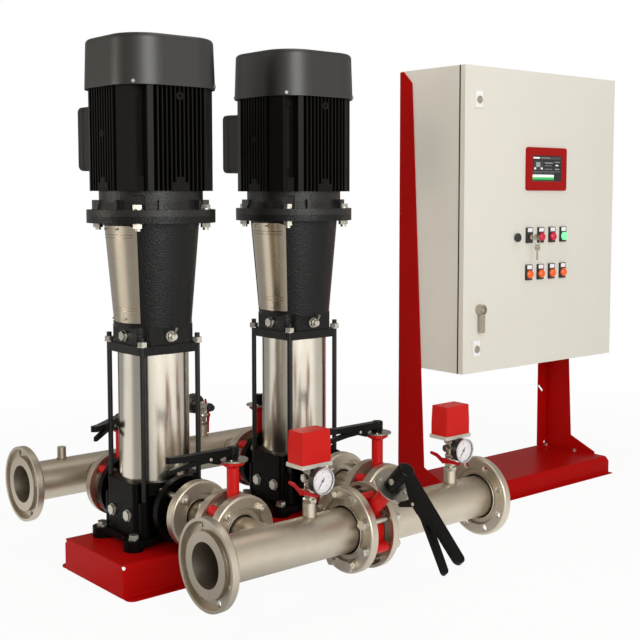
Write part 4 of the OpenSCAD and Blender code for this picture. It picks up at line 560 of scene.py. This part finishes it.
# Small pieces of the valves: rounded hub caps, clamp bolt, pin heads, screws of the ratchet plates. Where a
# value is a pair, the first is for the branch valves and the second for the section valve, the last of the
# five. A cap or head is its radius, where it starts and ends, and its rounding
valve = {
    "places": ((0, -375), (500, -375), (0, 183), (500, 183), (246, discharge)), "turn": (0, 0, 38, 180, 0),
    "sectionTilt": 45, "sectionTurn": 90,
    "capMm": ((15.5, 184, 210.5, 4), (23, 193, 260, 8)), "capSides": 48,
    "pinMm": ((-75, 190, 12.5), (-78, 231, 16.5)),  # along the lever, height, and from its middle
    "pinHeadMm": (4.6, -0.4, 2.0, 1.4), "headSides": 24,
    "clampMm": (-2, 22, 216), "clampHeadMm": (8.2, 0, 6.0, 1.0), "clampSides": 6, "clampSteps": 2,
    "screwMm": ((26, 179), (34, 187)),  # from the stem, and height
    "screwHeadMm": (4.2, -0.3, 2.6, 1.2), "screwTurn": 45, "smooth": 35,
}
sectionValve = len(valve["places"]) - 1


def valveSeat(k):  # frame of a valve: pipe along Y, stem along Z
    x, y = valve["places"][k]
    at = Matrix.Translation(place(x, y, layout["pipeZ"]))
    if k == sectionValve:
        at = at @ rotated(valve["sectionTilt"], "X") @ rotated(valve["sectionTurn"], "Z")
    return at


def spotOn(matrix, x, y, z, turn=0):  # a place in a local frame, in millimetres, turned about X
    return matrix @ Matrix.Translation(Vector((x, y, z)) * mm) @ rotated(turn, "X")


screws = bmesh.new()
for k in range(len(valve["places"])):
    which = int(k == sectionValve)  # of a pair of values
    lever = valveSeat(k) @ rotated(valve["turn"][k], "Z")
    body = "lever_%d" % (k + 1)
    turnedPiece("leverCap%d" % (k + 1), capProfile(*valve["capMm"][which]), lever, valve["capSides"],
                "leverBlack", body, valve["smooth"])
    pins = bmesh.new()
    along, up, side = valve["pinMm"][which]
    for way in (-1, 1):
        turned(pins, capProfile(*valve["pinHeadMm"]), spotOn(lever, along, way * side, up, -90 * way),
               valve["headSides"])
    if k == sectionValve:
        turned(pins, capProfile(*valve["clampHeadMm"], valve["clampSteps"]),
               spotOn(lever, *valve["clampMm"], -90), valve["clampSides"])
    newPiece("leverPins%d" % (k + 1), meshFrom("leverPins", pins, valve["smooth"]), "zincBolt", body)
    out, up = valve["screwMm"][which]
    for way in (-1, 1):
        turned(screws, capProfile(*valve["screwHeadMm"]),
               spotOn(valveSeat(k) @ rotated(valve["screwTurn"], "Z"), way * out, 0, up), valve["headSides"])
newPiece("ratchetScrews", meshFrom("ratchetScrews", screws, valve["smooth"]), "zincBolt", "base")
print("valve details done")

# Flanges: the rolled inner lip of each pressed flange stands round its pipe; the gap between is drawn as a
# flat dark ring of painted shade. An end is x, y and the way its pipe runs; on a branch, y and the way
flange = {
    "mainEnds": ((-220, suction, 1), (716, suction, -1), (-220, discharge, 1), (220, discharge, -1),
                 (272, discharge, 1), (716, discharge, -1)),
    "branchEnds": ((206, 1), (-206, -1), (-352, 1), (-398, -1)),
    "lipMm": {"main": (61.0, 65.6), "branch": (41.6, 45.4)}, "lipFromToMm": (13.6, 18.2),
    "lipSideDropMm": 2.4,  # from the top to where the rolled edge starts
    "lipEdgeMm": (0.7, 0.9),  # inset and drop of its corner
    "gapMm": {"main": (57.3, 61.4), "branch": (38.2, 41.9)}, "gapFromToMm": (13.7, 14.3),
    "sides": {"main": 96, "branch": 72}, "smooth": 40,
}


def lipProfile(inner, outer):
    low, high = flange["lipFromToMm"]
    side = high - flange["lipSideDropMm"]
    inset, drop = flange["lipEdgeMm"]
    return [(inner, low), (outer, low), (outer, side), (outer - inset, high - drop),
            ((inner + outer) / 2, high), (inner + inset, high - drop), (inner, side)]


# a flat ring of painted shade in the gap between a flange's bore and its pipe
def gapProfile(inner, outer):
    low, high = flange["gapFromToMm"]
    return [(inner, low), (outer, low), (outer, high), (inner, high)]


def flangeEnd(kind, x, y, turn, axis):  # the lip and the gap of one flange
    end = Matrix.Translation(place(x, y, layout["pipeZ"])) @ rotated(turn, axis)
    turned(lips, lipProfile(*flange["lipMm"][kind]), end, flange["sides"][kind])
    turned(gaps, gapProfile(*flange["gapMm"][kind]), end, flange["sides"][kind])


lips, gaps = bmesh.new(), bmesh.new()
for x, y, way in flange["mainEnds"]:
    flangeEnd("main", x, y, 90 * way, "Y")
for x in pumps:
    for y, way in flange["branchEnds"]:
        flangeEnd("branch", x, y, -90 * way, "X")
newPiece("flangeLips", meshFrom("flangeLips", lips, flange["smooth"]), "pipeSteel", "base")
# dark rings of painted shade in the flange gaps
newPiece("flangeGaps", meshFrom("flangeGaps", gaps, flange["smooth"]), "gapBlack", "base")
print("flange lips done")

# Weld beads where sockets and branches stand on the main pipes. A stub is x, y, its radius and how it is
# turned about X from upright
bead = {
    "stubs": ((-90, suction, 13, 0), (416, suction, 17, 0), (90, discharge, 17, 0), (590, discharge, 17, 0),
              (0, suction, 38.05, 90), (500, suction, 38.05, 90),
              (0, discharge, 38.05, -90), (500, discharge, 38.05, -90)),
    "pipeMm": 57.15, "dropMm": 2.5, "dropDetail": 2, "dropRange": (0.88, 1.08), "stepMm": 2.0,
    "seedStep": 100, "smooth": 70,
}


def beadTree():  # Geometry Nodes: overlapping drops along the line where a round stub meets a round pipe
    tree, inlet = startTree("weldBead", {
        "Stub Radius": bead["pipeMm"] * mm / 2, "Pipe Radius": bead["pipeMm"] * mm,
        "Drop": bead["dropMm"] * mm, "Count": 48, "Seed": 0}, "Steel")
    points = addNode(tree, "GeometryNodePoints", {"Count": inlet["Count"]})
    index = addNode(tree, "GeometryNodeInputIndex").outputs[0]
    share = addNode(tree, "ShaderNodeMath", {0: index, 1: inlet["Count"]}, operation="DIVIDE")
    angle = addNode(tree, "ShaderNodeMath", {0: share.outputs[0]}, operation="MULTIPLY",
                    values={1: 2 * math.pi})
    spin = addNode(tree, "ShaderNodeCombineXYZ", {"Z": angle.outputs[0]})
    arm = addNode(tree, "ShaderNodeCombineXYZ", {"X": inlet["Stub Radius"]})
    around = addNode(tree, "ShaderNodeVectorRotate", {"Vector": arm.outputs[0], "Rotation": spin.outputs[0]},
                     rotation_type="EULER_XYZ")
    flat = addNode(tree, "ShaderNodeSeparateXYZ", {0: around.outputs[0]}).outputs
    radius = inlet["Pipe Radius"]
    pipe = addNode(tree, "ShaderNodeMath", {0: radius, 1: radius}, operation="MULTIPLY")
    side = addNode(tree, "ShaderNodeMath", {0: flat[1], 1: flat[1]}, operation="MULTIPLY")
    rest = addNode(tree, "ShaderNodeMath", {0: pipe.outputs[0], 1: side.outputs[0]}, operation="SUBTRACT")
    high = addNode(tree, "ShaderNodeMath", {0: rest.outputs[0]}, operation="SQRT")
    spot = addNode(tree, "ShaderNodeCombineXYZ", {"X": flat[0], "Y": flat[1], "Z": high.outputs[0]})
    tree.links.new(spot.outputs[0], points.inputs["Position"])
    chance = addNode(tree, "ShaderNodeMath", {0: index, 1: inlet["Seed"]}, operation="ADD")
    noise = addNode(tree, "ShaderNodeTexWhiteNoise", {"W": chance.outputs[0]}, noise_dimensions="1D")
    least, most = bead["dropRange"]
    scale = addNode(tree, "ShaderNodeMapRange", {"Value": noise.outputs["Value"]},
                    values={"To Min": least, "To Max": most})
    drop = addNode(tree, "GeometryNodeMeshIcoSphere", {"Radius": inlet["Drop"]},
                   values={"Subdivisions": bead["dropDetail"]})
    placed = addNode(tree, "GeometryNodeInstanceOnPoints", {
        "Points": points.outputs[0], "Instance": drop.outputs[0], "Scale": scale.outputs[0]})
    endTree(tree, placed.outputs[0], inlet["Steel"])
    return tree


beads = beadTree()
runs = []
for number, (x, y, radius, turn) in enumerate(bead["stubs"]):
    run = fromNodes("weldBead", beads, {
        "Stub Radius": radius * mm, "Count": int(2 * math.pi * radius / bead["stepMm"]),
        "Seed": bead["seedStep"] * number, "Steel": materials["weldSteel"]})
    run.transform(Matrix.Translation(place(x, y, layout["pipeZ"])) @ rotated(turn, "X"))
    runs.append(run)
newPiece("weldBeads", meshFrom("weldBeads", joined(runs), bead["smooth"]), "weldSteel", "base")
print("weld beads done")

# Pressure switches: the turned-down skirt of each pale base plate
skirt = {"wideMm": 96, "deepMm": 66, "fromMm": 377.5, "toMm": 383.2, "radiusMm": 2}
skirts = bmesh.new()
for x, y, _ in layout["instruments"][:2]:
    card(skirts, skirt["wideMm"], skirt["deepMm"], skirt["radiusMm"], skirt["toMm"] - skirt["fromMm"],
         Matrix.Translation(place(x, y, skirt["fromMm"])))
newPiece("switchSkirts", meshFrom("switchSkirts", skirts), "absGrey", "base")
print("switch skirts done")

# Labels: blank white cards in the recesses of the lamps' legend plates, and behind the two locks of the door
lampLabel = {"widthMm": 24.6, "heightMm": 13.0, "radiusMm": 0.8, "thickMm": 0.85, "aboveMm": 24.2,
             "backMm": 7.05}
cards = bmesh.new()
for x in lampX:
    for z in lampZ:
        card(cards, lampLabel["widthMm"], lampLabel["heightMm"], lampLabel["radiusMm"], lampLabel["thickMm"],
             facing(onDoor(x, z + lampLabel["aboveMm"], lampLabel["backMm"])))
newPiece("lampLabels", meshFrom("lampLabels", cards), "paperWhite", "door")
lockLabel = {"places": ((66, 894), (66, 81)), "widthMm": 31, "heightMm": 51, "radiusMm": 1, "thickMm": 0.3,
             "frontMm": 2.3}
cards = bmesh.new()
for x, z in lockLabel["places"]:
    card(cards, lockLabel["widthMm"], lockLabel["heightMm"], lockLabel["radiusMm"], lockLabel["thickMm"],
         facing(onDoor(x, z, lockLabel["frontMm"] - lockLabel["thickMm"])))
newPiece("lockLabels", meshFrom("lockLabels", cards), "paperWhite", "door")
print("labels done")

# Door seal: dark rubber trim round the cabinet's opening on three sides, in the gap behind the door and
# wrapped onto the cabinet's side: in part a gasket, in part a band of painted shade for the dark line of the
# seam
seal = {"wideMm": 800, "highMm": 1000, "hingeMm": 40, "gapMm": (-21.8, -20.2), "wrapMm": (-25.2, -21.8),
        "lipMm": 7, "coverMm": 0.6, "proudMm": 0.4}


def sealOutline(inner):  # three sides of a frame, open toward the hinges
    out, right, top = -seal["proudMm"], seal["wideMm"] - seal["hingeMm"], seal["highMm"]
    return [(out, out), (right, out), (right, inner), (inner, inner),
            (inner, top - inner), (right, top - inner), (right, top - out), (out, top - out)]


# the lip fills the gap behind the door; the wrap is a thin dark band on the cabinet's side, painted shade
trim = bmesh.new()
for inner, (back, front) in ((seal["lipMm"], seal["gapMm"]), (seal["coverMm"], seal["wrapMm"])):
    plate(trim, sealOutline(inner), front - back, facing(onDoor(0, 0, back)))
newPiece("doorSeal", meshFrom("doorSeal", trim), "rubber", "base")
print("door seal done")

# Display: dark glass in the recess of the red frame, with a generic page of lines and bars
display = {"centre": (410, 673), "lowMm": (-77.2, -41.7), "highMm": (77.2, 45.7), "backMm": 5.55,
           "thickMm": 0.8, "colour": "#0b0b0d", "roughness": 0.18, "glow": 0.35, "halfDepthMm": 50}
page = (  # each bar's share of the screen's width and height, and its colour
    ((0.02, 0.98), (0.86, 0.95), "#3a3a3c"), ((0.02, 0.24), (0.88, 0.94), "#e8e8e8"),
    ((0.30, 0.60), (0.90, 0.93), "#8a8a8c"), ((0.04, 0.36), (0.44, 0.80), "#2c2d30"),
    ((0.12, 0.26), (0.56, 0.74), "#8e9094"), ((0.05, 0.12), (0.46, 0.54), "#d8d8d8"),
    ((0.28, 0.35), (0.46, 0.54), "#d8d8d8"), ((0.42, 0.70), (0.70, 0.74), "#8a8c90"),
    ((0.42, 0.66), (0.60, 0.63), "#707276"), ((0.42, 0.68), (0.46, 0.49), "#707276"),
    ((0.76, 0.96), (0.74, 0.77), "#8a8c90"), ((0.80, 0.90), (0.60, 0.66), "#cfd0d2"),
    ((0.78, 0.94), (0.46, 0.50), "#8a8c90"), ((0.02, 0.98), (0.36, 0.40), "#4a4b4e"),
    ((0.02, 0.36), (0.30, 0.36), "#3c3d40"), ((0.38, 0.74), (0.30, 0.36), "#34353a"),
    ((0.00, 0.74), (0.14, 0.26), "#e9f6ea"), ((0.00, 0.74), (0.06, 0.16), "#35b558"),
    ((0.00, 0.74), (0.00, 0.07), "#24402c"),
)
centreX, centreZ = display["centre"]
lowX, lowZ = display["lowMm"]
highX, highZ = display["highMm"]


def displayMaterial():  # glass over the lit page: dark and glossy, the bars glow a little
    material, tree, shader = newMaterial("displayGlass")
    low = onDoor(centreX + lowX, centreZ + lowZ)
    size = onDoor(centreX + highX, centreZ + highZ) - low
    depth = display["halfDepthMm"] * mm
    colour = None
    for across, up, shade in page:
        corner = low + Vector((size.x * across[0], -depth, size.z * up[0]))
        opposite = low + Vector((size.x * across[1], depth, size.z * up[1]))
        bar = addNode(tree, "ShaderNodeMix", {"Factor": insideBox(tree, corner, opposite)}, data_type="RGBA",
                      values={"A": linear(display["colour"]), "B": linear(shade)})
        if colour:
            tree.links.new(colour, bar.inputs["A"])
        colour = bar.outputs["Result"]
    tree.links.new(colour, shader.inputs["Base Color"])
    tree.links.new(colour, shader.inputs["Emission Color"])
    shader.inputs["Emission Strength"].default_value = display["glow"]
    shader.inputs["Roughness"].default_value = display["roughness"]
    return material


screen = bmesh.new()
plate(screen, [(lowX, lowZ), (highX, lowZ), (highX, highZ), (lowX, highZ)], display["thickMm"],
      facing(onDoor(centreX, centreZ, display["backMm"])))
newPiece("displayGlass", meshFrom("displayGlass", screen), displayMaterial(), "door")
print("display done")

# Studio: pale floor that fades into white, a large soft light from the front left, weaker ones from the left
# and from above, and a few brighter directions that only reflections see
studio = {"floorSize": 40, "floorColour": "#f2f1ee", "floorRoughness": 0.9, "floorSpecular": 0.1,
          "ambient": 0.36, "ambientColour": "#fffaf3", "glossLow": 0.40,
          "fadeNear": 1.3, "fadeFar": 3.4, "whiteNear": 0.93, "aim": (0, 0, 0.7)}
plainWhite = (1, 1, 1, 1)
lobes = (  # brighter surroundings in reflections: direction, cosine where it starts and where it is full, gain
    ((-0.24, -0.96, -0.12), 0.42, 0.96, 0.84),
    ((-0.87, 0.49, -0.02), 0.94, 0.99, 0.62),
    ((0.78, -0.62, -0.05), 0.5, 0.97, 0.34),
)
lights = (  # name, where it stands, size, power in watts, colour, seen in reflections
    ("keyLight", (-1.9, -5.0, 2.3), 3.6, 178, "#fdfeff", True),
    ("leftStrip", (-4.35, 2.3, 1.4), 1.2, 26, "#fff3e4", True),
    ("leftFill", (-4.8, -0.6, 2.2), 2.4, 36, "#ffe9d6", False),
    ("topLight", (0.2, -0.4, 4.6), 2.6, 40, "#fffaf3", True),
)


def glossBy(tree, vector):  # how bright a reflection shows the surroundings in a direction
    unit = addNode(tree, "ShaderNodeVectorMath", {0: vector}, operation="NORMALIZE").outputs[0]
    total = None
    for direction, start, full, gain in lobes:
        toward = addNode(tree, "ShaderNodeVectorMath", {0: unit}, operation="DOT_PRODUCT",
                         values={1: Vector(direction).normalized()})
        lobe = addNode(tree, "ShaderNodeMapRange", {"Value": toward.outputs["Value"]},
                       interpolation_type="SMOOTHSTEP",
                       values={"From Min": start, "From Max": full, "To Min": 0.0, "To Max": gain})
        added = addNode(tree, "ShaderNodeMath", {0: lobe.outputs[0]}, operation="ADD",
                        values={1: studio["glossLow"]})
        if total:
            tree.links.new(total, added.inputs[1])
        total = added.outputs[0]
    return total


def anyOf(tree, rays):  # 1 where a ray is one of these kinds
    seen = rays[0]
    for ray in rays[1:]:
        seen = addNode(tree, "ShaderNodeMath", {0: seen, 1: ray}, operation="MAXIMUM").outputs[0]
    return seen


def makeWorld():  # white to the camera, lobes to reflections, an even warm light to the rest
    world = bpy.data.worlds.new("studio")
    bpy.context.scene.world = world
    world.use_nodes = True
    tree = world.node_tree
    path = addNode(tree, "ShaderNodeLightPath").outputs
    gloss = glossBy(tree, addNode(tree, "ShaderNodeTexCoord").outputs["Generated"])
    lit = addNode(tree, "ShaderNodeMix", {"Factor": path["Is Glossy Ray"], "B": gloss},
                  values={"A": studio["ambient"]})
    seen = anyOf(tree, (path["Is Camera Ray"], path["Is Transmission Ray"]))
    strength = addNode(tree, "ShaderNodeMix", {"Factor": seen, "A": lit.outputs[0]}, values={"B": 1.0})
    tint = addNode(tree, "ShaderNodeMix", {"Factor": seen}, data_type="RGBA",
                   values={"A": linear(studio["ambientColour"]), "B": plainWhite})
    back = tree.nodes["Background"]
    tree.links.new(tint.outputs["Result"], back.inputs["Color"])
    tree.links.new(strength.outputs[0], back.inputs["Strength"])


def makeFloor():  # shadow close to the set, plain white further out
    bm = bmesh.new()
    bmesh.ops.create_grid(bm, x_segments=1, y_segments=1, size=studio["floorSize"])
    floor = addObject("floor", meshFrom("floor", bm))
    # matt seamless paper: keeps the shadow close by, white further out
    paper, tree, shader = newMaterial("paperFloor")
    shader.inputs["Base Color"].default_value = linear(studio["floorColour"])
    shader.inputs["Roughness"].default_value = studio["floorRoughness"]
    shader.inputs["Specular IOR Level"].default_value = studio["floorSpecular"]
    path = addNode(tree, "ShaderNodeLightPath").outputs
    seen = anyOf(tree, (path["Is Camera Ray"], path["Is Glossy Ray"], path["Is Transmission Ray"]))
    where = addNode(tree, "ShaderNodeTexCoord").outputs["Object"]
    away = addNode(tree, "ShaderNodeVectorMath", {0: where}, operation="LENGTH")
    fade = addNode(tree, "ShaderNodeMapRange", {"Value": away.outputs["Value"]},
                   interpolation_type="SMOOTHSTEP",
                   values={"From Min": studio["fadeNear"], "From Max": studio["fadeFar"],
                           "To Min": studio["whiteNear"], "To Max": 1.0})
    share = addNode(tree, "ShaderNodeMath", {0: seen, 1: fade.outputs[0]}, operation="MULTIPLY")
    shine = addNode(tree, "ShaderNodeMix", {"Factor": path["Is Glossy Ray"], "B": glossBy(tree, where)},
                    values={"A": 1.0})
    white = addNode(tree, "ShaderNodeEmission", {"Strength": shine.outputs[0]}, values={"Color": plainWhite})
    blend = addNode(tree, "ShaderNodeMixShader",
                    {0: share.outputs[0], 1: shader.outputs[0], 2: white.outputs[0]})
    tree.links.new(blend.outputs[0], tree.nodes["Material Output"].inputs["Surface"])
    paint(floor, paper)


makeWorld()
makeFloor()
for name, where, size, power, colour, reflected in lights:
    lamp = bpy.data.lights.new(name, "AREA")
    lamp.shape, lamp.size, lamp.energy, lamp.color = "DISK", size, power, linear(colour)[:3]
    light = addObject(name, lamp)
    light.location = where
    light.rotation_euler = (Vector(studio["aim"]) - Vector(where)).to_track_quat("-Z", "Y").to_euler()
    light.visible_glossy = reflected

camera = {"at": (-2.43615, -2.4236, 1.0368), "yaw": 40.4, "pitch": 4.7, "lens": 62.70, "sensor": 36,
          "shift": (-0.0111, -0.0514), "clipEnd": 100}
lens = bpy.data.cameras.new("camera")
lens.sensor_width, lens.lens, lens.clip_end = camera["sensor"], camera["lens"], camera["clipEnd"]
lens.shift_x, lens.shift_y = camera["shift"]
eye = addObject("camera", lens)
eye.location = camera["at"]
eye.rotation_euler = (math.radians(90 - camera["pitch"]), 0, math.radians(-camera["yaw"]))
bpy.context.scene.camera = eye
bpy.context.scene.view_settings.view_transform = "Standard"
print("studio done")
